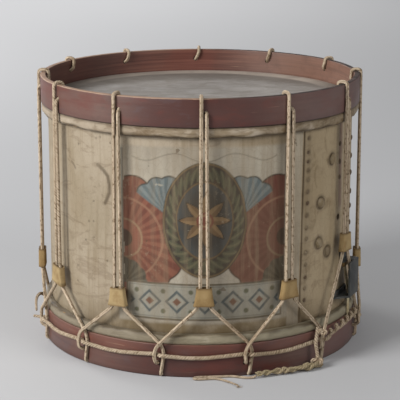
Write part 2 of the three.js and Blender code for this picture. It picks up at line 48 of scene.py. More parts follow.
# Sizes in metres and angles in degrees, the same as the solids'
HOOP_RADIUS = 0.205
HOOP_WALL = 0.007
RIM_HEIGHT = 0.343
TOP_HOOP_HEIGHT = 0.035
BOTTOM_HOOP_HEIGHT = 0.041
SHELL_RADIUS = 0.196
SHELL_WALL = 0.007
FLESH_HOOP_HEIGHT = 0.012
HEAD_RISE = 0.006
SKIN = 0.001
GAP = 0.0003
ROPE = 0.005
ROPE_GAP = 0.0005
PAIR_ANGLE = 30.0
PAIRS = 12
TUG_HEIGHT = 0.0226
TUG_SEATS = [share * RIM_HEIGHT for share in
             (0.268, 0.272, 0.3848, 0.245, 0.27, 0.28, 0.265, 0.275, 0.285, 0.252, 0.268, 0.248)]
EYE_HEIGHT = 0.029
SEAM_ANGLE = 38.7
SNARE_ANGLE = 65.7
GUT = 0.0012
GATE_WIDTH, GATE_HEIGHT = 0.012, 0.006

ROPE_RADIUS = ROPE / 2
HOOP_INSIDE = HOOP_RADIUS - HOOP_WALL
MID_WALL = HOOP_RADIUS - HOOP_WALL / 2
TOP_SEAT = RIM_HEIGHT - TOP_HOOP_HEIGHT
OUTSIDE_RUN = HOOP_RADIUS + ROPE_GAP + ROPE_RADIUS
INSIDE_RUN = HOOP_INSIDE - ROPE_GAP - ROPE_RADIUS
OVERLAP_RUN = OUTSIDE_RUN + ROPE + ROPE_GAP
DRAG_RUN = OUTSIDE_RUN + ROPE_GAP
CROSSING_HEIGHT = BOTTOM_HOOP_HEIGHT + 0.002
TOP_HOLE_ACROSS = ROPE_RADIUS + ROPE_GAP
TOP_HOLE_HEIGHT = RIM_HEIGHT - 0.018
BOTTOM_HOLE_RISE = 0.0175
HOLE_SLANT = 0.006
NOTCH_ACROSS = ROPE_RADIUS * 0.6
NOTCH_DEPTH = ROPE + 0.001
TURN_IN = 0.7 * ROPE_RADIUS

# Places closer than this are one
MERGE = 1e-6


def linked(name, data):
    """A new object in the scene."""
    made = bpy.data.objects.new(name, data)
    scene.collection.objects.link(made)
    return made


# Camera, as it was fitted to the photograph

SENSOR_WIDTH, LENS = 36, 143.1
CAMERA_PLACE = (-0.0461, -2.0295, 0.665)
CAMERA_DIP, CAMERA_TURN = 13.64, -1.3


def place_camera():
    data = bpy.data.cameras.new("photo_camera")
    data.sensor_width, data.lens = SENSOR_WIDTH, LENS
    camera = linked("photo_camera", data)
    camera.location = CAMERA_PLACE
    camera.rotation_euler = (math.radians(90 - CAMERA_DIP), 0, math.radians(CAMERA_TURN))
    scene.camera = camera


place_camera()


# Finishes

def paint(*tone):
    """A colour as it is mixed on the palette, 0 to 255, turned into light."""
    shares = [value / 255 for value in tone]
    return (*(s / 12.92 if s <= 0.04045 else ((s + 0.055) / 1.055) ** 2.4 for s in shares), 1.0)


class Pattern:
    """What one node of a finish gives from place to place."""

    def __init__(self, finish, socket):
        self.finish, self.socket = finish, socket

    def fade(self, low, high, start=0.0, end=1.0):
        """Goes smoothly from start to end as the pattern goes from low to high."""
        limits = {"Value": self, "From Min": low, "From Max": high, "To Min": start, "To Max": end}
        return self.finish.node("MapRange", limits, "Result", interpolation_type="SMOOTHSTEP")

    def __mul__(self, other):
        return self.finish.node("Math", {0: self, 1: other}, operation="MULTIPLY")

    def __add__(self, other):
        return self.finish.node("Math", {0: self, 1: other}, operation="ADD")

    def __abs__(self):
        return self.finish.node("Math", {0: self}, operation="ABSOLUTE")


class Finish:
    """One procedural finish. Its colour is built up in layers, and tones are three numbers up to 255."""

    def __init__(self, name, roughness, specular, metallic=0.0):
        self.material = bpy.data.materials.new(name)
        self.material.use_nodes = True
        self.tree = self.material.node_tree
        self.tree.nodes.clear()
        self.shader = self.tree.nodes.new("ShaderNodeBsdfPrincipled")
        output = self.tree.nodes.new("ShaderNodeOutputMaterial")
        self.tree.links.new(self.shader.outputs[0], output.inputs[0])
        self.set(self.shader, {"Roughness": roughness, "Metallic": metallic, "Specular IOR Level": specular})
        self.place = self.node("TexCoord", {}, "Object")

    def set(self, node, inputs):
        for slot, value in inputs.items():
            if isinstance(value, Pattern):
                self.tree.links.new(value.socket, node.inputs[slot])
            else:
                node.inputs[slot].default_value = value

    def node(self, kind, inputs, output=0, **settings):
        """Adds a node and gives the pattern that comes out of it."""
        node = self.tree.nodes.new("ShaderNode" + kind)
        for name, value in settings.items():
            setattr(node, name, value)
        self.set(node, inputs)
        return Pattern(self, node.outputs[output])

    def stored(self, name, output="Fac"):
        """What keep() stored in the mesh under this name."""
        return self.node("Attribute", {}, output, attribute_name=name)

    def split(self):
        """The place's own x, y and z."""
        return [self.node("SeparateXYZ", {0: self.place}, axis) for axis in range(3)]

    def scaled(self, scale, over):
        """The place times a scale for each axis, and the scale that is left for the pattern itself."""
        if isinstance(scale, tuple):
            return self.node("VectorMath", {0: over or self.place, 1: scale}, operation="MULTIPLY"), 1
        return over or self.place, scale

    def noise(self, scale, detail=4.0, roughness=0.5, distortion=0.0, over=None):
        point, scale = self.scaled(scale, over)
        return self.node("TexNoise", {"Vector": point, "Scale": scale, "Detail": detail,
                                      "Roughness": roughness, "Distortion": distortion}, "Fac")

    def cracks(self, scale):
        """How far a place is from the edges between small cells."""
        point, scale = self.scaled(scale, None)
        return self.node("TexVoronoi", {"Vector": point, "Scale": scale}, "Distance",
                         feature="DISTANCE_TO_EDGE")

    def blend(self, share, under, over, mode="MIX"):
        under, over = (tone if isinstance(tone, Pattern) else paint(*tone) for tone in (under, over))
        return self.node("Mix", {"Factor": share, 6: under, 7: over}, 2, data_type="RGBA", blend_type=mode)

    def layers(self, ground, *coats):
        """A ground with coats laid over it, each a share and a tone."""
        for share, tone, *mode in coats:
            ground = self.blend(share, ground, tone, *mode)
        return ground

    def done(self, colour, slot, *bumps, sheen=None):
        """The finished material and the record's slot. A bump is a pattern, its depth and its strength."""
        self.set(self.shader, {"Base Color": colour})
        relief = {}
        for height, distance, strength in bumps:
            inputs = {"Strength": strength, "Distance": distance, "Height": height, **relief}
            relief = {"Normal": self.node("Bump", inputs)}
        self.set(self.shader, relief)
        if sheen is not None:
            self.set(self.shader, {"Roughness": sheen})
        return self.material, slot


def hemp_finish():
    """Rope, its patterns laid along the strands."""
    finish = Finish("aged_hemp", 0.9, 0.2)
    straight = finish.stored("straight", "Vector")
    fibres = finish.noise((1500, 1500, 140), 3, 0.6, over=straight)
    patches = finish.noise((30, 30, 22), 3, 0.55, over=straight)
    flecks = finish.noise((420, 420, 260), 2, over=straight)
    fuzz = finish.noise((2600, 2600, 420), 2, over=straight)
    colour = finish.layers(
        finish.blend(fibres.fade(0.3, 0.7), (168, 148, 124), (212, 193, 168)),
        (patches.fade(0.4, 0.75, 0, 0.55), (164, 149, 124)),
        (finish.noise(14, 3).fade(0.5, 0.72, 0, 0.45), (136, 112, 84)),
        (flecks.fade(0.52, 0.66, 0, 0.72), (100, 78, 50)),
        # The valleys between the strands painted darker: painted shade
        (finish.stored("crest").fade(0.1, 0.75, 0.7, 0.0), (70, 54, 36)),
        (finish.stored("soiled") * patches.fade(0.3, 0.6, 0.5, 1.0), (128, 118, 82)))
    return finish.done(colour, "hemp", (fibres, 0.0004, 0.8), (fuzz, 0.0002, 0.6))


def hoop_finish():
    """Brown paint, worn, rubbed bare along the crown, with painted shade in front, inside on the left, on the
    crown's right and along the foot, and painted sheen inside on the right and at the outer right end.
    """
    finish = Finish("worn_and_shaded_hoop_paint", 0.46, 0.5)
    noise, stored = finish.noise, finish.stored
    x, _, z = finish.split()
    grain = noise((7, 7, 330), 4, 0.6)
    broad = noise((9, 9, 30), 4, 0.55)
    patchy = noise((15, 15, 38), 5, 0.65)
    scratch = noise((13, 13, 620), 3, 0.6)
    chips = noise((60, 60, 90), 4, 0.7)
    red = noise(9, 4, 0.6).fade(0.46, 0.62, 0, 0.6)
    front = x.fade(-0.13, -0.05) * x.fade(0.12, 0.05)
    low_band = z.fade(0.018, 0.036) * z.fade(0.06, 0.045) * broad.fade(0.35, 0.65, 0.1, 0.6)
    bare = scratch.fade(0.69, 0.73) * broad.fade(0.46, 0.6)
    edge = (stored("wear") + chips * 1.1).fade(1.18, 1.42)
    crown = stored("crown") * chips.fade(0.3, 0.6, 0.55, 1.0)
    inside = finish.layers(
        finish.blend(grain.fade(0.35, 0.65), (86, 52, 43), (113, 74, 61)),
        (red * 0.55, (112, 56, 44)),
        # Inside, paler to the right and darker to the left: painted highlight and painted shade
        (x.fade(0.02, 0.13, 0, 0.42), (146, 116, 98)),
        (x.fade(-0.07, -0.15, 0, 0.5), (66, 46, 42)))
    colour = finish.layers(
        finish.blend(grain.fade(0.3, 0.7), (88, 61, 54), (104, 74, 65)),
        (broad.fade(0.42, 0.7, 0, 0.5), (112, 88, 78)),
        (red * 0.5, (104, 56, 48)),
        # Darker in front: painted shade
        (front * 0.9, (76, 43, 37)),
        (patchy.fade(0.5, 0.64, 0, 0.38), (104, 44, 32)),
        (patchy.fade(0.46, 0.36, 0, 0.34), (86, 74, 76)),
        # Greyer and paler towards the right end: painted sheen
        (x.fade(0.09, 0.14, 0, 0.45), (112, 92, 88)),
        (low_band, (116, 68, 52)),
        (stored("inner"), inside),
        (bare * 0.55, (158, 126, 104)),
        (edge * 0.8, (182, 152, 126)),
        # The crown pale on the left where rubbed bare, dark on the right as painted shade
        (crown, finish.blend(x.fade(-0.03, 0.06), (158, 128, 106), (46, 34, 28))),
        # Dark along the foot: painted shade
        (stored("grime_and_shade"), (46, 34, 30)),
        (noise(26, 5, 0.65).fade(0.52, 0.78, 0, 0.4), (62, 43, 38)))
    return finish.done(colour, "hoop_paint", (grain, 0.0005, 0.25), (chips, 0.0004, 0.25),
                       sheen=broad.fade(0.3, 0.7, 0.4, 0.56) + crown * 0.4)


def shell_finish():
    """Cream paint on bare wood, stained, crazed and browner at the foot, with the painted panel on it."""
    finish = Finish("old_shell_paint", 0.6, 0.35)
    noise, stored = finish.noise, finish.stored
    x, _, z = finish.split()
    cloud = noise(6.5, 5, 0.6)
    figure = noise((20, 20, 62), 4, 0.6, 1.4)
    patch = noise((26, 26, 18), 5, 0.6)
    streak = noise((120, 120, 7), 4, 0.6)
    fine = noise(240, 4, 0.7)
    smudge = figure.fade(0.54, 0.64) * figure.fade(0.72, 0.64)
    foot = z.fade(0.098, 0.07) * abs(x).fade(0.16, 0.09) * patch.fade(0.36, 0.56, 0.45, 0.9)
    mottle = noise((60, 60, 34), 4, 0.65, 0.8).fade(0.52, 0.68) * x.fade(0.1, 0.15, 0.12, 0.5)
    kept = stored("cover") * (fine * 0.5 + patch * 0.5).fade(0.58, 0.68, 1.0, 0.6)
    panel = finish.layers(
        stored("decoration", "Color"),
        (cloud.fade(0.38, 0.68, 0.0, 0.38), (94, 80, 60)),
        (streak.fade(0.44, 0.7, 0.0, 0.34), (138, 120, 94)))
    colour = finish.layers(
        finish.blend(cloud.fade(0.34, 0.66), (150, 136, 113), (166, 152, 131)),
        (patch.fade(0.45, 0.72, 0, 0.4), (142, 124, 98)),
        (streak.fade(0.46, 0.72, 0, 0.5), (124, 106, 78)),
        (smudge * 0.4, (116, 98, 76)),
        # Warmer and a little darker towards the right: painted shade in place of the sheen that pales the
        # left
        (x.fade(0.0, 0.16), (254, 246, 228), "MULTIPLY"),
        (x.fade(0.1, 0.16, 0, 0.4), (186, 168, 138)),
        (foot, (108, 91, 62)),
        (mottle, (112, 92, 62)),
        (kept, panel),
        (finish.cracks((150, 150, 110)).fade(0.0, 0.05, 0.17, 0.0), (88, 70, 46)),
        # Dirt and marks, with painted shade under the lap and round the nails
        (stored("grime_and_shade") * patch.fade(0.25, 0.6, 0.65, 1.0), (70, 55, 36)),
        (noise(95, 2, 0.5).fade(0.72, 0.77, 0, 0.6), (84, 66, 46)),
        (noise((55, 55, 90), 3, 0.6).fade(0.73, 0.76) * 0.4, (188, 176, 154)))
    return finish.done(colour, "shell_wood", (patch, 0.0008, 0.35), (fine, 0.0002, 0.3),
                       sheen=patch.fade(0.3, 0.7, 0.5, 0.7))


def skin_finish():
    """Calfskin, grey where it is beaten, with a painted highlight on the skin's far edge, yellow and stained
    on the lap.
    """
    finish = Finish("old_calfskin", 0.6, 0.3)
    noise, stored = finish.noise, finish.stored
    x, _, z = finish.split()
    veins = noise((30, 46, 46), 6, 0.68, 0.6)
    stains = noise((34, 34, 60), 5, 0.65, 0.5)
    crease = noise((46, 46, 190), 3, 0.55, 0.8)
    lap = stored("lap")
    lapped = finish.layers(
        finish.blend(stains.fade(0.3, 0.5) * x.fade(-0.14, -0.04, 0.35, 1), (182, 167, 147), (144, 127, 103)),
        (stains.fade(0.5, 0.64, 0, 0.75) * x.fade(-0.14, -0.04, 0.5, 1), (104, 83, 56)),
        (crease.fade(0.56, 0.68, 0, 0.5), (104, 88, 66)),
        (z.fade(0.2, 0.1, 0, 0.65), finish.blend(x.fade(-0.13, 0.12), (126, 118, 99), (164, 158, 134))))
    colour = finish.layers(
        finish.blend(noise(8, 6, 0.6).fade(0.36, 0.66), (118, 111, 103), (134, 127, 119)),
        (veins.fade(0.52, 0.74, 0, 0.35), (104, 95, 82)),
        # Pale on the far edge: painted highlight
        (stored("collar_highlight") * veins.fade(0.3, 0.6, 0.6, 1.0), (176, 164, 151)),
        (lap, lapped),
        # Dirt, and painted shade under the counterhoop
        (stored("grime_and_shade"), (70, 56, 38)))
    return finish.done(colour, "calfskin", (veins, 0.0012, 0.35), (crease * lap, 0.0018, 0.8),
                       (noise(320, 3, 0.6), 0.0002, 0.4), sheen=veins.fade(0.3, 0.7, 0.45, 0.7))


def leather_finish():
    finish = Finish("buff_leather", 0.75, 0.3)
    cloud = finish.noise(60, 4, 0.6)
    colour = finish.layers(
        finish.blend(finish.stored("tint"), (132, 104, 60), (170, 147, 106)),
        (cloud.fade(0.42, 0.72, 0, 0.6), (118, 88, 48)),
        # Lighter middle: rubbed leather and painted highlight
        (finish.stored("polish_and_highlight") * cloud.fade(0.65, 0.35, 0.1, 0.4), (182, 156, 112)),
        (finish.stored("wear") * 0.6, (84, 62, 38)))
    return finish.done(colour, "leather", (finish.cracks(900), 0.0002, 0.35),
                       (finish.noise(700, 3, 0.6), 0.0003, 0.5))


def iron_finish():
    finish = Finish("black_iron", 0.5, 0.5, metallic=0.55)
    cloud = finish.noise(55, 5, 0.65)
    colour = finish.layers(
        finish.blend(cloud.fade(0.4, 0.66), (58, 60, 60), (96, 96, 92)),
        (finish.noise(120, 5, 0.7).fade(0.58, 0.7, 0, 0.6), (92, 62, 42)))
    return finish.done(colour, "iron", (finish.noise(420, 4, 0.6), 0.0003, 0.5), (cloud, 0.0008, 0.4),
                       sheen=cloud.fade(0.3, 0.7, 0.4, 0.65))


def nail_finish():
    """Iron nail heads under the shell's old paint, dark round the edge of each head with dirt and painted
    shade.
    """
    finish = Finish("painted_nails", 0.6, 0.35)
    cloud = finish.noise(120, 4, 0.6)
    colour = finish.layers(
        finish.blend(cloud.fade(0.4, 0.66), (130, 113, 84), (152, 136, 110)),
        (finish.stored("bare"), (72, 52, 36)),
        (finish.stored("rim").fade(0.3, 0.95, 0, 0.85), (58, 42, 27)))
    return finish.done(colour, "iron", (cloud, 0.0005, 0.4))


def gut_finish():
    finish = Finish("old_gut", 0.4, 0.5)
    cloud = finish.noise((60, 60, 60), 3, over=finish.stored("straight", "Vector"))
    colour = finish.layers(
        finish.blend(cloud.fade(0.4, 0.7), (196, 178, 136), (220, 208, 174)),
        # The valleys between the strands painted darker: painted shade
        (finish.stored("crest").fade(0.0, 0.6, 0.5, 0.0), (120, 92, 54)))
    return finish.done(colour, "gut")


def wood_finish():
    finish = Finish("bare_ash", 0.8, 0.25)
    grain = finish.noise((14, 14, 500), 5, 0.6)
    colour = finish.blend(grain.fade(0.35, 0.65), (132, 98, 62), (170, 138, 96))
    return finish.done(colour, None, (grain, 0.0004, 0.4))


hemp = hemp_finish()
hoop_paint = hoop_finish()
shell_paint = shell_finish()
calfskin = skin_finish()
buff_leather = leather_finish()
black_iron = iron_finish()
painted_nails = nail_finish()
old_gut = gut_finish()
bare_ash = wood_finish()


# Meshes

def keep(mesh, name, values, kind="FLOAT"):
    """Stores a value, a vector or a colour for each point, for the finishes to read."""
    field = {"FLOAT": "value", "FLOAT_VECTOR": "vector", "FLOAT_COLOR": "color"}[kind]
    kept = mesh.attributes.new(name, kind, "POINT")
    kept.data.foreach_set(field, np.asarray(values, dtype=np.float32).ravel())


def add_piece(mesh, name, finish, *replaces, body="drum"):
    """A finished piece at its place, which rides on a body and may stand for CAD nodes."""
    mesh.name = name
    piece = linked(name, mesh)
    material, slot = finish
    mesh.materials.clear()
    mesh.materials.append(material)
    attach(piece, body)
    if replaces:
        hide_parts(*replaces)
    return piece


def face_out(bm):
    bmesh.ops.recalc_face_normals(bm, faces=bm.faces[:])


def finished(bm, mesh=None):
    """What was built, written to a mesh."""
    mesh = mesh or bpy.data.meshes.new("made")
    bm.to_mesh(mesh)
    bm.free()
    return mesh


def joined(meshes):
    """Several finished meshes as one, with what is stored in their points."""
    bm = bmesh.new()
    for mesh in meshes:
        bm.from_mesh(mesh)
    return finished(bm, meshes[0].copy())


def baked(made):
    """The mesh that an object comes out as."""
    bpy.context.view_layer.update()
    return bpy.data.meshes.new_from_object(made.evaluated_get(bpy.context.evaluated_depsgraph_get()))


def all_smooth(mesh):
    mesh.polygons.foreach_set("use_smooth", [True] * len(mesh.polygons))
    return mesh


def smooth(mesh, angle=38):
    """Shaded smooth, apart from edges sharper than the angle."""
    all_smooth(mesh).set_sharp_from_angle(angle=math.radians(angle))
    return mesh


def places_of(mesh):
    places = np.empty(len(mesh.vertices) * 3)
    mesh.vertices.foreach_get("co", places)
    return places.reshape(-1, 3)


def put_back(mesh, places):
    mesh.vertices.foreach_set("co", places.ravel())
    mesh.update()


def angles_of(places):
    """Degrees round the drum from the front, growing towards +X."""
    return np.degrees(np.arctan2(places[:, 0], -places[:, 1]))


def radii_of(places):
    return np.hypot(places[:, 0], places[:, 1])


def ripple(places, scale, seed=0.0):
    """Smooth chance between -1 and 1 at each place."""
    return np.array([lattice.noise(Vector((x * scale + seed, y * scale - seed, z * scale)))
                     for x, y, z in places])


def pushed_out(places, amounts):
    """Places moved away from the drum's axis."""
    radii = radii_of(places)
    share = np.divide(radii + amounts, radii, out=np.ones_like(radii), where=radii > MERGE)
    moved = places.copy()
    moved[:, :2] *= share[:, None]
    return moved


def ramp(values, low, high):
    """Rises smoothly from 0 at low to 1 at high."""
    share = np.clip((values - low) / (high - low), 0, 1)
    return share * share * (3 - 2 * share)


def fall(values, low, high):
    """Falls smoothly from 1 at low to 0 at high."""
    return 1 - ramp(values, low, high)


def bell(values):
    return np.exp(-values ** 2)


# Lines

def on_drum(angle, across, radius, height):
    """The place at an angle round the drum, and a run across from there, a radius and a height."""
    turn = math.radians(angle) + across / OUTSIDE_RUN
    return Vector((radius * math.sin(turn), -radius * math.cos(turn), height))


def stops(angle, *rows):
    """Places near one angle, from their runs across, radii and heights."""
    return [on_drum(angle, *row) for row in rows]


def bend(start, corner, end, share):
    """A place on the curve that rounds a corner."""
    return start * (1 - share) ** 2 + corner * 2 * share * (1 - share) + end * share ** 2


def eased(points, reach):
    """The route with every corner rounded over at most this reach on each side."""
    rounded = [points[0]]
    for before, here, after in zip(points, points[1:], points[2:]):
        back, on = before - here, after - here
        cut = min(reach, 0.48 * back.length, 0.48 * on.length)
        start, end = here + back.normalized() * cut, here + on.normalized() * cut
        rounded += [bend(start, here, end, share) for share in (0, 0.17, 0.33, 0.5, 0.67, 0.83, 1)]
    return rounded + [points[-1]]


def steps_of(points):
    """The points as rows of numbers, and how far each is from the one before."""
    places = np.array([tuple(p) for p in points])
    return places, np.linalg.norm(np.diff(places, axis=0), axis=1)


def length_of(points):
    return float(steps_of(points)[1].sum())


def evenly(points, step):
    """Points at an even spacing along a line."""
    places, steps = steps_of(points)
    runs = np.concatenate(([0], np.cumsum(steps)))
    count = max(2, int(round(runs[-1] / step)) + 1)
    wanted = np.linspace(0, runs[-1], count)
    return np.stack([np.interp(wanted, runs, places[:, k]) for k in range(3)], axis=1)


def path_of(points, step):
    return [tuple(p) for p in evenly(points, step)]


def drawn_line(places, dimensions):
    """A curve object through the places, and its spline."""
    curve = bpy.data.curves.new("drawn_line", "CURVE")
    curve.dimensions = dimensions
    spline = curve.splines.new("POLY")
    spline.points.add(len(places) - 1)
    for point, place in zip(spline.points, places):
        point.co = (*place, 1)
    return linked("drawn_line", curve), spline


def laid_rope(points, diameter, pitch, strands=3, step=0.0014, sides=18, depth=0.24, taper=None):
    """A twisted rope along its line: crests where the strands stand out and valleys between them.

    The place of every point on the straight rope is kept in it, for the fibres of its finish.
    """
    centre = evenly(points, step)
    last = len(centre) - 1
    step = length_of(centre) / last
    angles = np.arange(sides) * 2 * np.pi / sides
    crest = np.abs(np.cos(angles * strands / 2)) ** 0.8
    radii = diameter / 2 * (1 - depth * (1 - crest))
    around = np.column_stack([radii * np.cos(angles), radii * np.sin(angles)])
    section, outline = drawn_line(np.column_stack([around, np.zeros(sides)]), "2D")
    outline.use_cyclic_u = True
    drawn, line = drawn_line(centre, "3D")
    drawn.data.twist_mode = "MINIMUM"
    drawn.data.bevel_mode = "OBJECT"
    drawn.data.bevel_object = section
    for i, point in enumerate(line.points):
        point.tilt = -2 * math.pi * i * step / pitch
        point.radius = taper(i / last) if taper else 1
    mesh = baked(drawn)
    for used in (drawn, section):
        bpy.data.objects.remove(used)
    order = np.arange(len(mesh.vertices) // sides * sides)
    ring, spot = order // sides, order % sides
    keep(mesh, "straight", np.column_stack([around[spot], ring * step]), "FLOAT_VECTOR")
    keep(mesh, "crest", crest[spot])
    bm = bmesh.new()
    bm.from_mesh(mesh)
    bmesh.ops.holes_fill(bm, edges=bm.edges[:], sides=sides)
    face_out(bm)
    return all_smooth(finished(bm, mesh))


# Routes of the tension rope

EYE_HALF = ROPE
LEG_AT_TUG = 0.0088
LEG_BELOW_TUG = 0.0156
BEND_BELOW_TUG = 0.003
ROPE_START = -2
OVER_THE_RIM = [(0.0061, -0.003), (0.0059, 0.0002), (0.0049, 0.0018), (0.0026, 0.0026), (0, 0.0027),
                (-0.0026, 0.0026), (-0.0049, 0.0018), (-0.0059, 0.0002), (-0.0061, -0.003)]


def rising_strand(index):
    """Out through the lower hoop, round the eye, up through the tug, over the rim and into its hole."""
    low, high = (index - 0.5) * PAIR_ANGLE, index * PAIR_ANGLE
    foot, hole = TUG_SEATS[index % PAIRS], -ROPE_RADIUS
    return stops(
        low,
        (hole, INSIDE_RUN, BOTTOM_HOLE_RISE - TURN_IN),
        (hole, INSIDE_RUN + TURN_IN, BOTTOM_HOLE_RISE),
        (hole, OUTSIDE_RUN, BOTTOM_HOLE_RISE),
        (hole - 0.6 * ROPE_RADIUS, OVERLAP_RUN, BOTTOM_HOLE_RISE + 1.6 * ROPE_RADIUS),
        (-EYE_HALF, OVERLAP_RUN, EYE_HEIGHT - ROPE_RADIUS),
        (-EYE_HALF, OVERLAP_RUN, EYE_HEIGHT + ROPE_RADIUS),
        (-0.7 * EYE_HALF, OVERLAP_RUN, CROSSING_HEIGHT - 1.2 * EYE_HALF),
        (0, OVERLAP_RUN, CROSSING_HEIGHT),
    ) + stops(
        high,
        (-LEG_BELOW_TUG / 2, OUTSIDE_RUN, foot - BEND_BELOW_TUG),
        (-LEG_AT_TUG / 2, OUTSIDE_RUN, foot + TUG_HEIGHT),
        *[(-TOP_HOLE_ACROSS, MID_WALL + away, RIM_HEIGHT + rise) for away, rise in OVER_THE_RIM],
        (0, INSIDE_RUN, TOP_HOLE_HEIGHT + HOLE_SLANT + TURN_IN),
        (0.4 * TOP_HOLE_ACROSS, INSIDE_RUN + TURN_IN, TOP_HOLE_HEIGHT + HOLE_SLANT),
    )


def falling_strand(index):
    """Out of the upper hoop's hole, down through the tug, round the eye, under the foot and up inside."""
    foot, run = TUG_SEATS[index % PAIRS], NOTCH_DEPTH / 2
    return stops(
        index * PAIR_ANGLE,
        (TOP_HOLE_ACROSS, OUTSIDE_RUN - TURN_IN, TOP_HOLE_HEIGHT),
        (TOP_HOLE_ACROSS, OUTSIDE_RUN, TOP_HOLE_HEIGHT - TURN_IN),
        (LEG_AT_TUG / 2, OUTSIDE_RUN, foot + TUG_HEIGHT),
        (LEG_BELOW_TUG / 2, OUTSIDE_RUN, foot - BEND_BELOW_TUG),
    ) + stops(
        (index + 0.5) * PAIR_ANGLE,
        (0, OUTSIDE_RUN, CROSSING_HEIGHT),
        (0.7 * EYE_HALF, OUTSIDE_RUN, CROSSING_HEIGHT - 1.2 * EYE_HALF),
        (EYE_HALF, OUTSIDE_RUN, EYE_HEIGHT + ROPE_RADIUS),
        (EYE_HALF, OUTSIDE_RUN, EYE_HEIGHT - ROPE_RADIUS),
        (NOTCH_ACROSS, OUTSIDE_RUN, run + TURN_IN),
        (NOTCH_ACROSS, OUTSIDE_RUN - TURN_IN, run),
        (NOTCH_ACROSS, INSIDE_RUN + TURN_IN, run),
        (NOTCH_ACROSS, INSIDE_RUN, run + TURN_IN),
    )


def tension_route():
    points = []
    for i in range(ROPE_START, ROPE_START + PAIRS):
        points += rising_strand(i) + falling_strand(i)
    last = points[-1]
    away = points[0] - last
    return points + [last + away.normalized() * (away.length - ROPE - GAP)]


# Routes of the drag rope

LOOP_REACH = 0.0095
STUB_REACH = 0.0135
CHAIN_WIDTH = 0.009
CHAIN_START = 48.4
CHAIN_END = 69.4
CHAIN_RUN = HOOP_RADIUS + 2 * GUT + ROPE_GAP + CHAIN_WIDTH / 2
CHAIN_RISES = [share * BOTTOM_HOOP_HEIGHT for share in (0.77, 0.88, 0.96, 1.02, 1.05, 1.06)]
LEFT_EYE = (ROPE_START - 0.5) * PAIR_ANGLE

# Through an eye and on to the next: across, the run it lies on, out from it and down, by half ropes
EYE_PASS = [(-2.4, OUTSIDE_RUN, 0, 0), (-1, OUTSIDE_RUN, 0.08, 0), (1, OVERLAP_RUN, -0.08, 0),
            (2.6, OVERLAP_RUN, 0, 0), (7, DRAG_RUN, 0.1, 0.8), (14, DRAG_RUN, 0, 1.2),
            (23, DRAG_RUN, 0, 1.1), (32, DRAG_RUN, 0, 0.4)]


def through_eyes(first, end):
    return [on_drum((index + 0.5) * PAIR_ANGLE, across * ROPE_RADIUS, run + out * ROPE_RADIUS,
                    EYE_HEIGHT - down * ROPE_RADIUS)
            for index in range(first, end) for across, run, out, down in EYE_PASS]


def beside_left_eye(reach, *rows):
    """Places that stand off the hoop by a share of the reach, from their turns back, shares and heights."""
    return [on_drum(LEFT_EYE - back, 0, OUTSIDE_RUN + share * reach, height) for back, share, height in rows]


def drag_front_route():
    stub = beside_left_eye(STUB_REACH, (5.4, 1, EYE_HEIGHT - 0.9 * ROPE_RADIUS),
                           (4.2, 0.5, EYE_HEIGHT - ROPE_RADIUS), (3, 0.12, EYE_HEIGHT - 0.8 * ROPE_RADIUS))
    end = on_drum(1.5 * PAIR_ANGLE, 4.7 * ROPE_RADIUS, OVERLAP_RUN - GAP, EYE_HEIGHT + ROPE_RADIUS)
    return stub + through_eyes(ROPE_START - 1, 1) + through_eyes(1, 2)[:4] + [end]


def chain_route():
    part = (CHAIN_END - CHAIN_START) / (len(CHAIN_RISES) - 1)
    return [on_drum(CHAIN_START + i * part, 0, CHAIN_RUN, rise) for i, rise in enumerate(CHAIN_RISES)]


def drag_back_route():
    height, half = CHAIN_RISES[-1], ROPE_RADIUS
    start = stops(CHAIN_END, (0.8 * half, CHAIN_RUN, height - 0.2 * half),
                  (1.6 * half, CHAIN_RUN - 0.5 * half, height - 0.8 * half),
                  (3.5 * half, OUTSIDE_RUN, EYE_HEIGHT + 2 * half),
                  (4.8 * half, OUTSIDE_RUN, EYE_HEIGHT + 0.7 * half))
    loop = beside_left_eye(LOOP_REACH, (20, 0.1, CROSSING_HEIGHT - 8 * ROPE_GAP),
                           (16, 0.5, CROSSING_HEIGHT + 0.5 * ROPE), (13, 0.85, CROSSING_HEIGHT + 0.3 * ROPE),
                           (10.5, 1, CROSSING_HEIGHT - 0.5 * ROPE), (8, 1, CROSSING_HEIGHT - 1.5 * ROPE),
                           (6.5, 1, CROSSING_HEIGHT - 2 * ROPE))
    return start + through_eyes(2, PAIRS - 4)[1:] + through_eyes(PAIRS - 4, PAIRS - 3)[:5] + loop


def in_metres(height, *route):
    """Places given in millimetres, at this height where they have none of their own."""
    return [Vector((*place, height)[:3]) / 1000 for place in route]


drop_route = in_metres(
    None, (142.7, -153.5, 46.5), (142.2, -155.6, 43), (141, -159.6, 38), (139.8, -162.7, 32),
    (139.7, -163, 26.5), (140.6, -163, 21), (141.7, -164.1, 15.5), (142, -165.7, 10.2))
braid_route = in_metres(
    5.2, (143.4, -167.4), (139.4, -173.4), (134, -179.2), (126.8, -183.6), (118.9, -187), (109.6, -190.4),
    (100, -193.8), (90.6, -197.2), (81.2, -200.8), (72, -204.6), (63.8, -208.2))
tail_route = in_metres(
    1.9, (63.2, -208.9, 3.4), (59.6, -210.3, 2), (54.5, -211.2), (48, -210.4), (40.5, -207.4), (33, -204.8),
    (25.5, -205.6), (17.5, -206.4), (9.5, -207), (1.5, -207.3), (-5.5, -207.8), (-10.8, -209.2),
    (-13, -212), (-10.8, -214.6), (-5.5, -215.2), (1.5, -214), (8.5, -212.6), (14.5, -213),
    (19.6, -215.9), (25, -220.4), (30, -225.6), (34.9, -230.9), (38.6, -235.6))


# Ropes

LAY = 2.1 * ROPE
STRETCHED_ROPE = 0.0046
FRONT_ROPE = 0.0053
TAIL = 0.0032

# How far the corners of a route are rounded
LONG_REACH, SHORT_REACH = 0.006, 0.004


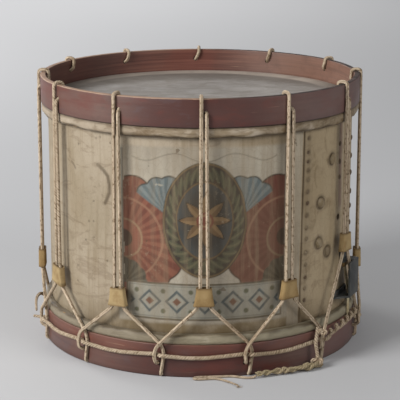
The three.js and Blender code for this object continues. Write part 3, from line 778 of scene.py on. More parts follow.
def line_frames(points, step, outwards):
    """Even points along a line with the way on, the face and the side at each of them."""
    centre = evenly(eased(points, LONG_REACH), step)
    ways = np.gradient(centre, axis=0)
    ways /= np.linalg.norm(ways, axis=1)[:, None]
    faces = np.array([outwards(p) for p in centre])
    sides = np.cross(ways, faces)
    sides /= np.linalg.norm(sides, axis=1)[:, None]
    return centre, np.linspace(0, length_of(centre), len(centre)), ways, np.cross(sides, ways), sides


def drag_plait():
    """Three small ropes plaited loosely by hand along the braid's line, soiled from lying about."""
    width, depth, strand, pitch = 0.0047, 0.0022, 0.0047, 0.012
    centre, runs, _, faces, sides = line_frames(braid_route, 0.0015, lambda point: (0, 0, 1))

    def taper(share):
        return 1.08 - 0.5 * share

    size = np.array([taper(share) for share in runs / runs[-1]])
    turns = runs / 0.054 + 0.16 * np.sin(runs * 95) + 0.1 * np.sin(runs * 210 + 1.3)
    meshes = []
    for k in range(3):
        phase = 2 * np.pi * (turns + k / 3)
        loose = 1 + 0.16 * np.sin(runs * 130 + 2.1 * k)
        out = centre + sides * (width * size * loose * np.sin(phase))[:, None] \
            + faces * (depth * size * np.sin(2 * phase))[:, None]
        meshes.append(laid_rope(out, strand, pitch, step=0.0012, sides=12, taper=taper))
    plait = joined(meshes)
    keep(plait, "soiled", [0.6] * len(plait.vertices))
    return plait


def drag_chain():
    """A rope hitched over itself: a straight run with a row of loops standing on it."""
    rise, reach, period, strand, pitch = 0.0034, 0.0022, 0.0135, 0.0040, 0.0095
    centre, runs, ways, faces, sides = line_frames(
        chain_route(), 0.001, lambda point: tuple(Vector((point[0], point[1], 0)).normalized()))
    ups = -sides if sides[0][2] < 0 else sides
    lifted_end = 0.0028 * np.clip(1 - runs / (0.45 * runs[-1]), 0, 1)
    centre = centre + ups * lifted_end[:, None]
    phase = 2 * np.pi * (runs / period + 0.05 * np.sin(runs * 160))
    run = centre - ups * 0.0026 - faces * 0.0002
    loops = centre + ups * (0.0008 + rise * np.sin(phase))[:, None] \
        + faces * (reach * np.cos(phase))[:, None] + ways * (0.0016 * np.sin(phase + 0.8))[:, None]
    return joined([laid_rope(line, strand, pitch, step=0.001, sides=12) for line in (run, loops)])


def knot(centre, size, strand, turn):
    """A small overhand knot, drawn as a closed three-lobed line."""
    points = []
    for i in range(97):
        t = 2 * math.pi * i / 96
        place = Vector((math.sin(t) + 2 * math.sin(2 * t), math.cos(t) - 2 * math.cos(2 * t),
                        -math.sin(3 * t)))
        points.append(centre + Matrix.Rotation(turn, 3, "Z") @ (place * size / 3))
    return laid_rope(points, strand, strand * 2.4, step=0.001, sides=12)


def frayed_end(count=16, length=0.008, spread=0.28):
    """Loose fibres that fan out of the tail's bare end."""
    chance = np.random.default_rng(7)
    way = (tail_route[-1] - tail_route[-2]).normalized()
    side = Vector((-way.y, way.x, 0)).normalized()
    meshes = []
    for _ in range(count):
        lean = chance.normal(0, spread)
        reach = length * chance.uniform(0.45, 1.0)
        curl = chance.normal(0, 0.35)
        start = tail_route[-1] + side * chance.uniform(-0.0011, 0.0011) \
            + Vector((0, 0, chance.uniform(-0.001, 0.001)))
        points = []
        for k in range(7):
            share = k / 6
            turn = lean * share + curl * share * share
            place = start + (way * math.cos(turn) + side * math.sin(turn)) * reach * share
            place.z = max(0.0004, start.z * (1 - share) + chance.uniform(0, 0.0012) * share)
            points.append(place)
        meshes.append(laid_rope(points, 0.0004, pitch=0.01, strands=2, step=0.002, sides=4, depth=0))
    return joined(meshes)


drop_points, tail_points = eased(drop_route, SHORT_REACH), eased(tail_route, SHORT_REACH)
braid_points = eased(braid_route, LONG_REACH)
drop = add_piece(laid_rope(drop_points, ROPE, LAY), "drag_rope_drop_laid", hemp, "drag_rope_drop")
braid_knot = add_piece(knot(Vector((0.1418, -0.1688, 0.0076)), size=0.0068, strand=0.0050, turn=0.5),
                       "braid_knot", hemp)
braid = add_piece(drag_plait(), "drag_rope_plait", hemp, "drag_rope_braid")
tail = add_piece(laid_rope(tail_points, TAIL, pitch=0.008, step=0.0012,
                           taper=lambda share: 1 - 0.35 * max(0.0, share - 0.8) / 0.2),
                 "drag_rope_tail_laid", hemp, "drag_rope_tail")
fray = add_piece(frayed_end(), "tail_fibres", hemp)

length_of(drop_points)
path_of(drop_points, 0.003)
length_of(braid_points)
path_of(braid_points, 0.003)
length_of(tail_points)
path_of(tail_points, 0.002)

add_piece(laid_rope(eased(tension_route(), ROPE), STRETCHED_ROPE, LAY, step=0.0015, sides=15),
          "tension_rope_laid", hemp, "tension_rope")
add_piece(laid_rope(eased(drag_front_route(), LONG_REACH), FRONT_ROPE, LAY,
                    taper=lambda share: 0.72 + 0.28 * min(1.0, share / 0.05)),
          "drag_rope_front_laid", hemp, "drag_rope_front")
add_piece(laid_rope(eased(drag_back_route(), LONG_REACH), ROPE, LAY,
                    taper=lambda share: 1 - 0.38 * max(0.0, share - 0.93) / 0.07),
          "drag_rope_back_laid", hemp, "drag_rope_back")
add_piece(drag_chain(), "drag_rope_chain_laid", hemp, "drag_rope_chain")
add_piece(knot(on_drum(42.6, 0, OVERLAP_RUN + 0.0045, 0.0425), size=0.0052, strand=0.0042, turn=0.9),
          "eye_knot", hemp)


# Turned, bent and carved pieces

def rounded_outline(corners, steps=4):
    """A closed outline of (radius, height, reach) corners, each rounded over its reach."""
    outline = []
    for i, (radius, height, reach) in enumerate(corners):
        before, here = Vector(corners[i - 1][:2]), Vector((radius, height))
        after = Vector(corners[(i + 1) % len(corners)][:2])
        if reach <= 0:
            outline.append(here)
            continue
        start = here + (before - here).normalized() * reach
        end = here + (after - here).normalized() * reach
        outline += [bend(start, here, end, k / steps) for k in range(steps + 1)]
    return outline


def divided(outline, reach, closed=True):
    """The outline with its long sides divided into even parts no longer than the reach."""
    points = []
    for i in range(len(outline) if closed else len(outline) - 1):
        here, after = outline[i], outline[(i + 1) % len(outline)]
        parts = max(1, math.ceil((after - here).length / reach))
        points += [here.lerp(after, k / parts) for k in range(parts)]
    return points if closed else points + [outline[-1]]


def turned(outline, steps, closed=True):
    """A ring or a disc turned from its outline."""
    bm = bmesh.new()
    points = [bm.verts.new((0, -radius, height)) for radius, height in outline]
    edges = [bm.edges.new(pair) for pair in zip(points, points[1:])]
    if closed:
        edges.append(bm.edges.new((points[-1], points[0])))
    bmesh.ops.spin(bm, geom=points + edges, cent=(0, 0, 0), axis=(0, 0, 1), dvec=(0, 0, 0),
                   angle=2 * math.pi, steps=steps, use_merge=True)
    bmesh.ops.remove_doubles(bm, verts=bm.verts[:], dist=MERGE)
    face_out(bm)
    return finished(bm)


def sheet(columns, rings, place_of, inwards=0.0):
    """A sheet bent to shape: place_of gives where each of its crossings goes. It can be thickened inwards."""
    bm = bmesh.new()
    bmesh.ops.create_grid(bm, x_segments=columns, y_segments=rings, size=0.5)
    for vert in bm.verts:
        vert.co = place_of(round((vert.co.x + 0.5) * columns), round((vert.co.y + 0.5) * rings))
    bmesh.ops.remove_doubles(bm, verts=bm.verts[:], dist=MERGE)
    face_out(bm)
    if inwards:
        bmesh.ops.solidify(bm, geom=bm.faces[:], thickness=inwards)
        face_out(bm)
    return finished(bm)


def radial_frame(angle, across, outwards, height):
    """Carries a shape made with x across, y outwards and z up to its place on the drum."""
    turn = math.radians(angle)
    tangent = Vector((math.cos(turn), math.sin(turn), 0))
    away = Vector((math.sin(turn), -math.cos(turn), 0))
    frame_axes = Matrix((tangent, away, Vector((0, 0, 1)))).transposed().to_4x4()
    frame_axes.translation = away * outwards + tangent * across + Vector((0, 0, height))
    return frame_axes


def peg(radius, angle, across, height, slant=0.0):
    """A round cutter through the wall of the hoop or shell, level or slanting down outwards."""
    bm = bmesh.new()
    bmesh.ops.create_cone(bm, cap_ends=True, segments=28, radius1=radius, radius2=radius, depth=0.03)
    place = radial_frame(angle, 0, MID_WALL, height) @ Matrix.Rotation(math.pi / 2 - slant, 4, "X")
    turn = Matrix.Rotation(across / OUTSIDE_RUN, 4, "Z")
    bmesh.ops.transform(bm, matrix=turn @ place, verts=bm.verts)
    face_out(bm)
    return finished(bm)


def block(width, depth, height, place, bevel=0.0):
    """A block standing on its place, with eased edges if wanted."""
    bm = bmesh.new()
    bmesh.ops.create_cube(bm, size=1)
    bmesh.ops.scale(bm, vec=(width, depth, height), verts=bm.verts)
    bmesh.ops.translate(bm, vec=(0, 0, height / 2), verts=bm.verts)
    if bevel:
        bmesh.ops.bevel(bm, geom=bm.edges[:], offset=bevel, affect="EDGES", segments=3, profile=0.5,
                        material=-1)
    bmesh.ops.transform(bm, matrix=place, verts=bm.verts)
    return finished(bm)


def carved(mesh, cutters):
    """The mesh with all the cutters taken out of it."""
    solid, tool = linked("solid", mesh), linked("cutters", joined(cutters))
    cut = solid.modifiers.new("cut", "BOOLEAN")
    cut.operation, cut.solver, cut.object = "DIFFERENCE", "EXACT", tool
    done = baked(solid)
    for used in (solid, tool):
        bpy.data.objects.remove(used)
    return done


# Counterhoops

PAST_WALL = 0.008


def bent_hoop(foot, height, edge):
    """A bent wooden hoop, its outer edges worn round and its faces a little uneven from the plane."""
    top = foot + height
    corners = [(HOOP_RADIUS, foot, edge), (HOOP_RADIUS, top, edge), (HOOP_INSIDE, top, edge * 0.7),
               (HOOP_INSIDE, foot, edge * 0.5)]
    mesh = turned(divided(rounded_outline(corners), reach=0.006), steps=300)
    places = places_of(mesh)
    uneven = 0.00035 * ripple(places, 22, 3.1) + 0.00015 * ripple(places, 70, 1.7)
    put_back(mesh, pushed_out(places, uneven))
    return mesh


def worn(mesh, foot, top, rubbed):
    """Keeps where a hoop is rubbed, the painted shade along its foot and which points face inwards."""
    places = places_of(mesh)
    radii = radii_of(places)
    outer = ramp(radii, HOOP_INSIDE + 0.004, HOOP_RADIUS - 0.0006)
    rim = fall(top - places[:, 2], 0.0002, 0.0019) * (1 - 0.75 * ramp(angles_of(places), -4, 14))
    keep(mesh, "wear", np.clip(rubbed * outer * rim, 0, 1))
    keep(mesh, "inner", fall(radii, HOOP_INSIDE + 0.001, HOOP_INSIDE + 0.003))
    keep(mesh, "crown", rubbed * fall(top - places[:, 2], 0.0001, 0.0006))
    # A dark line along the hoop's foot: painted shade
    keep(mesh, "grime_and_shade", 0.75 * fall(places[:, 2] - foot, 0.0002, 0.0022) * outer)
    return smooth(mesh)


def add_top_hoop():
    slant = math.atan2(HOLE_SLANT, OUTSIDE_RUN - INSIDE_RUN - 2 * TURN_IN)
    holes = [peg(ROPE_RADIUS + 0.0004, i * PAIR_ANGLE, 0.7 * TOP_HOLE_ACROSS,
                 TOP_HOLE_HEIGHT + HOLE_SLANT / 2, slant) for i in range(PAIRS)]
    mesh = carved(bent_hoop(TOP_SEAT, TOP_HOOP_HEIGHT, 0.0016), holes)
    add_piece(worn(mesh, TOP_SEAT, RIM_HEIGHT, 1.0), "top_hoop_bent", hoop_paint, "top_counterhoop")


def add_bottom_hoop():
    cutters = []
    below = 0.004
    for i in range(PAIRS):
        angle = (i + 0.5) * PAIR_ANGLE
        cutters.append(peg(ROPE_RADIUS + 0.0008, angle, -ROPE_RADIUS, BOTTOM_HOLE_RISE))
        cutters.append(block(ROPE + 0.002, HOOP_WALL + PAST_WALL, NOTCH_DEPTH + below,
                             radial_frame(angle, NOTCH_ACROSS, MID_WALL, -below), 0.0012))
    gate_foot = BOTTOM_HOOP_HEIGHT - HEAD_RISE - GAP - GUT - (GATE_HEIGHT - GUT) / 2
    for angle in (SNARE_ANGLE, SNARE_ANGLE + 180):
        place = radial_frame(angle, 0, MID_WALL, gate_foot)
        cutters.append(block(GATE_WIDTH, HOOP_WALL + PAST_WALL, GATE_HEIGHT, place))
    mesh = carved(bent_hoop(0, BOTTOM_HOOP_HEIGHT, 0.0014), cutters)
    add_piece(worn(mesh, 0, BOTTOM_HOOP_HEIGHT, 0.3), "bottom_hoop_bent", hoop_paint, "bottom_counterhoop")


add_top_hoop()
add_bottom_hoop()


# Skins

BEARING_EDGE = 0.0024
LAP_OUTSIDE = HOOP_RADIUS - 0.001
COLLAR = SHELL_RADIUS + GAP + SKIN


def add_head(name, seat, outwards, node):
    """A skin drawn over the shell's edge and lapped round its flesh hoop, with the pleats it dried in."""
    foot = -GAP - FLESH_HOOP_HEIGHT
    corners = [
        (0, HEAD_RISE, 0), (SHELL_RADIUS - BEARING_EDGE + 0.0008, HEAD_RISE, 0.002),
        (COLLAR, HEAD_RISE - BEARING_EDGE, 0.0016), (COLLAR, foot + 2 * SKIN, 0.0008),
        (LAP_OUTSIDE - 2 * SKIN, foot + 2 * SKIN, 0.0008), (LAP_OUTSIDE - SKIN, -GAP - SKIN, 0.0006),
        (COLLAR + SKIN, -GAP - SKIN, 0), (COLLAR + SKIN, -GAP, 0), (LAP_OUTSIDE - 0.0004, -GAP, 0.001),
        (LAP_OUTSIDE, -GAP - FLESH_HOOP_HEIGHT / 2, 0.003), (LAP_OUTSIDE - 0.0008, foot, 0.0028),
        (SHELL_RADIUS + GAP, foot - 0.0002, 0.0008), (SHELL_RADIUS + GAP, HEAD_RISE - 0.003, 0.001),
        (SHELL_RADIUS - BEARING_EDGE, HEAD_RISE - SKIN, 0.001), (0, HEAD_RISE - SKIN, 0),
    ]
    outline = divided(rounded_outline(corners), 0.004, closed=False)
    mesh = turned([(radius, seat + outwards * height) for radius, height in outline], 360, closed=False)
    places = places_of(mesh)
    radii = radii_of(places)
    lapped = ramp(radii, COLLAR + SKIN, LAP_OUTSIDE - SKIN)
    pleats = ripple(places * np.array((1, 1, 0.45)), 130, 5.2)
    rolls = ripple(places * np.array((1, 1, 1.6)), 42, 2.4)
    depth = 0.0012 if outwards < 0 else 0.0009
    places = pushed_out(places, lapped * np.maximum(depth * (pleats + rolls), -0.0001))
    rise = outwards * (places[:, 2] - seat)
    low = fall(rise, foot, foot + 0.005)
    waves = 0.0015 * ripple(places, 28, 8.8) + 0.0012 * ripple(places, 85, 2.8)
    places[:, 2] += outwards * lapped * low * waves
    sag = fall(radii, 0.172, 0.189) * -0.0012 - 0.0006 * fall(radii, 0.05, 0.18)
    sag += 0.0003 * ripple(places, 9, 4.4) * (radii < 0.185)
    places[:, 2] += outwards * sag * (radii < 0.19)
    put_back(mesh, places)
    far = ramp(places[:, 1], 0.03, 0.12) * (0.55 + 0.45 * ramp(places[:, 0], -0.12, 0.02))
    # Darker near the rim, left off on the far side
    darker_near_rim = 0.45 * ramp(radii, 0.172, 0.195) * (1 - lapped) * (1 - 0.85 * far)
    ragged = foot + 0.004 + 0.004 * ripple(places, 48, 7.3)
    tuck = 0.78 * fall(rise, ragged - 0.0045, ragged) * lapped
    # Darker at the top of the lap, just under the counterhoop: painted shade
    under = 0.5 * ramp(rise, -0.004, -0.0008) * lapped
    low_dirt = 0.1 if outwards < 0 else 0.08
    uneven_edge = radii + 0.002 * ripple(places, 30, 6.1)
    keep(mesh, "lap", ramp(radii, 0.1945, 0.1975))
    # A pale band inside the rim on the far side: painted highlight
    keep(mesh, "collar_highlight", 0.95 * far * ramp(uneven_edge, 0.1715, 0.1755) * (1 - lapped))
    keep(mesh, "grime_and_shade", np.clip(darker_near_rim + np.maximum(tuck, under) + low_dirt * lapped, 0, 0.85))
    add_piece(smooth(mesh, 60), name, calfskin, node)


add_head("batter_skin", TOP_SEAT, 1, "batter_head")
add_head("snare_skin", BOTTOM_HOOP_HEIGHT, -1, "snare_head")


# Shell with its painted panel

PANEL_ANGLE = 0.4
PANEL_HEIGHT = 0.174
PANEL_HALF_WIDTH, PANEL_HALF_HEIGHT = 0.1085, 0.109
FAN_CORNER = 0.1015
SEAM_LEAN = -1.2
SEAM_TOP = 0.2955
SEAM_LENGTH = 0.213
PLATE_LAP = 0.0009
VENT = (60.9, 0.173)
VENT_RADIUS = 0.0035

# Width, darkness and line of each scratch. Its places, and those below, are angles and heights.
SCRATCHES = [
    (0.0021, 0.62, [(-54.97, 0.2496), (-53.6, 0.2466), (-52.55, 0.2426)]),
    (0.0036, 0.74, [(-40.44, 0.2532), (-37.98, 0.2478), (-35.89, 0.2409), (-35.23, 0.2305), (-35.28, 0.2205),
                    (-36.35, 0.2126), (-37.19, 0.2072)]),
]
SPECKS = [(-41.06, 0.2858), (-39.14, 0.2879), (-42.8, 0.2068), (-42.96, 0.1815), (-45.31, 0.1801),
          (-50.4, 0.2741), (-47.2, 0.1552), (-36.6, 0.1349), (-52.1, 0.1187)]
STUDS = [(55.0, 0.2511), (47.6, 0.2003), (46.8, 0.1497), (52.7, 0.1348)]
SEAM_NAILS = (0.2848, 0.2676, 0.2559, 0.2449, 0.2333, 0.2184, 0.2040, 0.1887, 0.1728, 0.1594, 0.1418,
              0.1262, 0.1103, 0.0961, 0.0812)
SIDE_NAIL_ANGLE, DARK_NAIL_ANGLE = 79.2, 61.6
SIDE_NAILS = (0.263, 0.2395, 0.2175, 0.1925, 0.1735, 0.151, 0.128, 0.105, 0.082)
DARK_NAILS = (0.2666, 0.2437, 0.2237)

# Radius, height and bareness of the large heads
DOMED_HEAD, FLAT_HEAD = (0.0066, 0.0042, 0.08), (0.0056, 0.0018, 0.3)


def seam_at(heights):
    """The seam leans a little from its top to its foot."""
    return SEAM_ANGLE + SEAM_LEAN * (SEAM_TOP - heights) / SEAM_LENGTH


def seam_nail_angle(height):
    return seam_at(height) + 2.05


def bent_plate():
    """The shell's wall as one bent sheet, finest in front where it is painted."""
    angles = [*np.arange(-58, -34, 0.5), *np.arange(-34, 37.9, 0.34), 38.1, 38.35, 38.55, 38.68, 38.8, 39.0,
              *np.arange(39.4, 43, 0.4), *np.arange(43.5, 62, 0.7), *np.arange(63, 301, 2.5)]
    top, bottom = TOP_SEAT + HEAD_RISE - 0.0013, BOTTOM_HOOP_HEIGHT - HEAD_RISE + 0.0013
    inside = SHELL_RADIUS - SHELL_WALL
    edge, ease = SHELL_RADIUS - BEARING_EDGE, 0.0008
    rows = [(inside, bottom), (edge, bottom), (SHELL_RADIUS - ease, bottom + ease),
            (SHELL_RADIUS, bottom + BEARING_EDGE)]
    rows += [(SHELL_RADIUS, height) for height in np.arange(0.054, 0.2945, 0.0012)]
    rows += [(SHELL_RADIUS, top - BEARING_EDGE), (SHELL_RADIUS - ease, top - ease), (edge, top),
             (inside, top), (inside, 0.24), (inside, 0.174), (inside, 0.1)]

    def place_of(i, j):
        radius, height = rows[j % len(rows)]
        angle = angles[i % len(angles)]
        window = math.exp(-((angle - SEAM_ANGLE) / 6) ** 2)
        lean = window * SEAM_LEAN * (SEAM_TOP - min(max(height, 0.05), SEAM_TOP)) / SEAM_LENGTH
        turn = math.radians(angle + lean)
        return Vector((radius * math.sin(turn), -radius * math.cos(turn), height))

    return sheet(len(angles), len(rows), place_of)


def shape(distance, soft=0.0007):
    """How far a place is inside a painted shape, from its distance to the outline."""
    return fall(distance, -soft, soft)


def stripe(distance, half, soft=0.0007):
    """How far a place is inside a painted line of this half width."""
    return shape(np.abs(distance) - half, soft)


def rays(turn, count, low=0.35, high=0.65):
    return ramp(0.5 + 0.5 * np.cos(turn * count), low, high)


def fan(side, rise):
    """How far places are from a fan's corner, and their turn round it."""
    return np.hypot(side, rise), np.arctan2(np.abs(rise), np.abs(side))


def painted_panel(places):
    """The colours of the generic panel and how much of the shell they cover."""
    angles = angles_of(places)
    across = np.radians(angles - PANEL_ANGLE) * SHELL_RADIUS + 0.0007 * ripple(places, 60, 6.6)
    up = places[:, 2] - PANEL_HEIGHT + 0.0006 * ripple(places, 55, 9.1)
    colour = np.tile(np.array(paint(172, 164, 148)[:3]), (len(places), 1))
    panel = np.maximum(np.abs(across) - PANEL_HALF_WIDTH, np.abs(up) - PANEL_HALF_HEIGHT)
    cover = shape(panel + 0.002 * ripple(places, 40, 2.2), 0.0025) * 0.75

    def lay(tone, share):
        nonlocal colour, cover
        colour = colour + (np.array(paint(*tone)[:3]) - colour) * share[:, None]
        cover = np.maximum(cover, share)

    # Pale strip beside the seam, a red-brown strip behind the right-hand ropes that is partly stain and
    # partly their painted shadow, lines down the panel's sides
    past = angles - seam_at(places[:, 2])
    lay((184, 172, 152), 0.7 * ramp(past, -6.4, -5.6) * fall(past, -1.0, -0.4))
    rope_shadow_and_stain = stripe(angles - 61.9 + 0.5 * ripple(places, 30, 4.7), 1.3, 0.35)
    lay((110, 66, 50), 0.8 * rope_shadow_and_stain * ramp(places[:, 2], 0.175, 0.19))
    lay((96, 104, 98), stripe(np.abs(across) - 0.1058, 0.0022) * stripe(up - 0.015, 0.09) * 0.8)
    lay((60, 50, 38), stripe(np.abs(across) - 0.1025, 0.0007) * stripe(up - 0.015, 0.09) * 0.8)

    # On each side a red half rosette, a blue palmette and a small dark fan in the corner
    for left in (-1, 1):
        side = left * across - FAN_CORNER
        out, turn = fan(side, up + 0.006)
        edge = 0.076 + 0.0035 * np.abs(np.cos(turn * 7))
        body = shape(out - edge) * (side < 0)
        lay((126, 78, 60) if left < 0 else (110, 68, 54), body)
        lay((100, 55, 43), body * rays(turn, 28, 0.3, 0.7) * ramp(out, 0.012, 0.04) * 0.8)
        lay((148, 110, 86), body * stripe(out - 0.050, 0.0013) * 0.7)
        lay((64, 46, 36), stripe(out - edge, 0.001) * (side < 0))
        lay((146, 124, 94), body * stripe(out - 0.024, 0.0011) * 0.7)
        lay((66, 48, 38), body * shape(out - 0.011))
        beside, above = left * across - 0.046, up - 0.026
        out, lean = np.hypot(beside, above), np.arctan2(beside, above) - 0.35
        edge = 0.045 + 0.003 * np.abs(np.cos(lean * 7))
        spread = stripe(lean, 0.62, 0.02)
        leaf = shape(out - edge) * spread
        lay((92, 102, 102), leaf)
        lay((122, 128, 124), leaf * rays(lean, 28) * 0.7)
        lay((60, 58, 52), stripe(out - edge, 0.0009) * spread)
        out, turn = fan(side, up + 0.062)
        edge = 0.03 + 0.002 * np.abs(np.cos(turn * 6))
        body = shape(out - edge) * (side < 0) * (up > -0.062)
        lay((84, 78, 64), body)
        lay((60, 54, 44), body * rays(turn, 20) * 0.8)
    lay((96, 92, 80), stripe(up - 0.0965 + 0.005 * np.cos(across * 86), 0.0007) * stripe(across, 0.09) * 0.75)

    # Dark medallion with a border of leaves
    centre_up = up - 0.020
    wide, tall = across * 1.26, centre_up * 0.9
    oval, turn = np.hypot(wide, tall), np.arctan2(wide, tall)
    lay((56, 49, 41), shape(oval - 0.0645))
    lay((112, 92, 62), stripe(oval - 0.0625, 0.0009))
    leaf = np.abs(np.sin(turn * 14 + np.sign(across) * (oval - 0.052) * 260))
    wreath = stripe(oval - 0.052, 0.0015 + 0.0062 * leaf)
    lay((74, 74, 56), wreath)
    lay((100, 94, 70), wreath * ramp(leaf, 0.8, 0.98) * 0.8)
    lay((104, 84, 56), stripe(oval - 0.0425, 0.001))
    lay((66, 68, 66), shape(oval - 0.0415))
    lay((54, 49, 43), shape(oval - 0.033, 0.009) * 0.8)

    # Ochre star of eight points in the middle
    reach, turn = np.hypot(across, centre_up), np.arctan2(across, centre_up)
    point = (np.abs(((turn * 8 / (2 * np.pi)) % 1) - 0.5) * 2) ** 1.1
    star = shape(reach - (0.0135 + 0.017 * point))
    lay((40, 36, 30), shape(reach - (0.0155 + 0.0175 * point)))
    lay((128, 102, 70), star)
    lay((94, 70, 46), star * ((turn * 16 / (2 * np.pi)) % 2 < 1) * 0.7)
    lay((112, 58, 44), shape(reach - 0.0105))
    lay((146, 124, 88), stripe(reach - 0.0068, 0.0008))

    # Pale band of lozenges
    band_up, pitch = np.abs(up + 0.0815), 0.034
    band = np.maximum(np.abs(across) - 0.0985, band_up - 0.0235)
    lozenge = np.abs(((across / pitch + 0.5) % 1) - 0.5) * pitch + band_up
    half_step = np.abs(((across / pitch) % 1) - 0.5) * pitch
    lay((150, 146, 132), shape(band))
    lay((104, 104, 94), stripe(band + 0.0042, 0.0006) * 0.7)
    lay((78, 86, 86), stripe(lozenge - 0.0128, 0.0021) * shape(band + 0.0055))
    lay((112, 80, 62), shape(lozenge - 0.0052) * shape(band + 0.0055))
    lay((92, 92, 72), shape(np.hypot(half_step, band_up - 0.0125) - 0.003) * shape(band + 0.0045))
    lay((84, 74, 58), stripe(band + 0.0012, 0.0010))

    brushed = 0.15 * ripple(places * np.array((1, 1, 0.16)), 190, 3.9) + 0.12 * ripple(places, 38, 5.5)
    return np.clip(colour * (1 + brushed)[:, None], 0, 1), cover


def shell_grime_and_shade(places):
    """Scratches; dirt along the seam, behind ropes, round the vent and at the foot, darker still just above
    the lower lap; dark rings round the nails, dirt and painted shade; and painted shade under the upper lap.
    """
    angles, heights = angles_of(places), places[:, 2]

    def near(angle, height):
        """How far places on the shell are from one of them."""
        return np.hypot(np.radians(angles - angle) * SHELL_RADIUS, heights - height)

    def scratched(line, width):
        """How deep places lie in a scratch drawn through its points."""
        deep = np.zeros(len(angles))
        for start, end in zip(line, line[1:]):
            for share in np.linspace(0, 1, 9):
                spot = np.array(start) + np.subtract(end, start) * share
                deep = np.maximum(deep, fall(near(*spot), width * 0.3, width))
        return deep

    blotch = 0.5 + 0.5 * ripple(places, 24, 1.9)
    past = angles - seam_at(heights)
    beside = bell((past - 2.0) / 1.7) * 0.18
    foot = ramp(blotch, 0.3, 0.75) * 0.32 * fall(heights, 0.054, 0.088) + 0.16 * fall(heights, 0.052, 0.06)
    # Darker just under the upper lap: painted shade
    head = 0.45 * fall(0.2957 - heights, 0.0, 0.006)
    pair = (angles / PAIR_ANGLE + 0.5) % 1 - 0.5
    rubbed = (0.1 + 0.12 * blotch) * bell(pair * PAIR_ANGLE / 2.2)
    marks = [bell(past / 0.3) * 0.85, foot + head + rubbed + beside]
    marks += [dark * scratched(line, width) for width, dark, line in SCRATCHES]
    marks += [0.7 * fall(near(*speck), 0.0006, 0.0022) for speck in SPECKS]
    # Dark rings round the studs and the seam nails: dirt and painted shade
    for stud in STUDS:
        away = near(*stud)
        marks.append(0.85 * bell((away - 0.0071) / 0.0016) + 0.2 * (away < 0.012))
    marks += [0.8 * bell(near(seam_nail_angle(height), height) / 0.0039) for height in SEAM_NAILS]
    marks.append(0.85 * fall(near(*VENT), 0.0036, 0.006))
    return np.clip(np.max(marks, axis=0), 0, 0.92)


def add_shell():
    mesh = bent_plate()
    places = places_of(mesh)
    skin = ramp(radii_of(places), 0.1935, 0.1958)
    past = angles_of(places) - seam_at(places[:, 2])
    shown = ramp(places[:, 2], 0.053, 0.056) * fall(places[:, 2], 0.293, SEAM_TOP)
    lap = PLATE_LAP * ramp(past, -0.05, 0.06) * fall(past, 5, 16)
    groove = -0.0006 * bell((past + 0.12) / 0.14)
    uneven = 0.00045 * ripple(places, 14, 7.7) + 0.00012 * ripple(places, 75, 3.3)
    put_back(mesh, pushed_out(places, skin * shown * (lap + groove + uneven)))
    mesh = carved(mesh, [peg(VENT_RADIUS, VENT[0], 0, VENT[1])])
    places = places_of(mesh)
    colour, cover = painted_panel(places)
    keep(mesh, "decoration", np.column_stack([colour, np.ones(len(colour))]), "FLOAT_COLOR")
    keep(mesh, "cover", cover * (radii_of(places) > SHELL_RADIUS - 0.003))
    keep(mesh, "grime_and_shade", shell_grime_and_shade(places))
    add_piece(smooth(mesh, 50), "shell_plate", shell_paint, "shell")


add_shell()


# Nails in the shell

def nail_head(radius, rise, angle, height, bare, seed, seat):
    """A domed nail head, a little out of round, flat behind."""
    bm = bmesh.new()
    bmesh.ops.create_uvsphere(bm, u_segments=16, v_segments=10, radius=1)
    sphere = bm.verts[:] + bm.edges[:] + bm.faces[:]
    cut = bmesh.ops.bisect_plane(bm, geom=sphere, plane_co=(0, 0, 0), plane_no=(0, 0, 1), clear_inner=True)
    bmesh.ops.contextual_create(bm, geom=[e for e in cut["geom_cut"] if isinstance(e, bmesh.types.BMEdge)])
    lean = np.random.default_rng(seed).uniform(0, 2 * math.pi)
    for vert in bm.verts:
        turn = math.atan2(vert.co.y, vert.co.x)
        out = 1 + 0.06 * math.sin(2 * turn + lean) + 0.04 * math.sin(5 * turn + 2 * lean)
        vert.co = (vert.co.x * radius * out, vert.co.y * radius * out, vert.co.z ** 0.8 * rise)
    # Dark where the dome meets the shell: dirt and painted shade
    rim_shade_and_dirt = [1 - min(1.0, vert.co.z / rise * 1.6) for vert in bm.verts]
    place = radial_frame(angle, 0, seat, height) @ Matrix.Rotation(-math.pi / 2, 4, "X")
    bmesh.ops.transform(bm, matrix=place, verts=bm.verts)
    face_out(bm)
    mesh = finished(bm)
    keep(mesh, "rim", rim_shade_and_dirt)
    keep(mesh, "bare", [bare] * len(rim_shade_and_dirt))
    return smooth(mesh, 70)


def nail_row(radius, rise, angle, heights, bare, seed):
    return [nail_head(radius, rise, angle, height, bare, seed + number, SHELL_RADIUS - 0.0003)
            for number, height in enumerate(heights)]


def add_nails():
    """Four large heads, the last one flat and barer, and the small nails of the seam and further right."""
    for number, (angle, height) in enumerate(STUDS):
        radius, rise, bare = DOMED_HEAD if number < 3 else FLAT_HEAD
        stud = nail_head(radius, rise, angle, height, bare, 40 + number, SHELL_RADIUS - 0.0002)
        add_piece(stud, f"stud_head_{number + 1}", painted_nails, f"seam_stud_{number + 1}")
    chance = np.random.default_rng(11)
    seam = []
    for number, height in enumerate(SEAM_NAILS):
        angle = seam_nail_angle(height) + chance.uniform(-0.3, 0.3)
        size, bare = chance.uniform(0.0022, 0.0029), chance.uniform(0.3, 0.9)
        seam.append(nail_head(size, 0.0015, angle, height, bare, number, SHELL_RADIUS + PLATE_LAP - 0.0005))
    add_piece(smooth(joined(seam), 70), "seam_nails", painted_nails)
    side = nail_row(0.0038, 0.0022, SIDE_NAIL_ANGLE, SIDE_NAILS, bare=0.7, seed=20)
    dark = nail_row(0.0034, 0.0016, DARK_NAIL_ANGLE, DARK_NAILS, bare=0.8, seed=30)
    add_piece(smooth(joined(side + dark), 70), "side_nails", painted_nails)


add_nails()


# Leather tugs

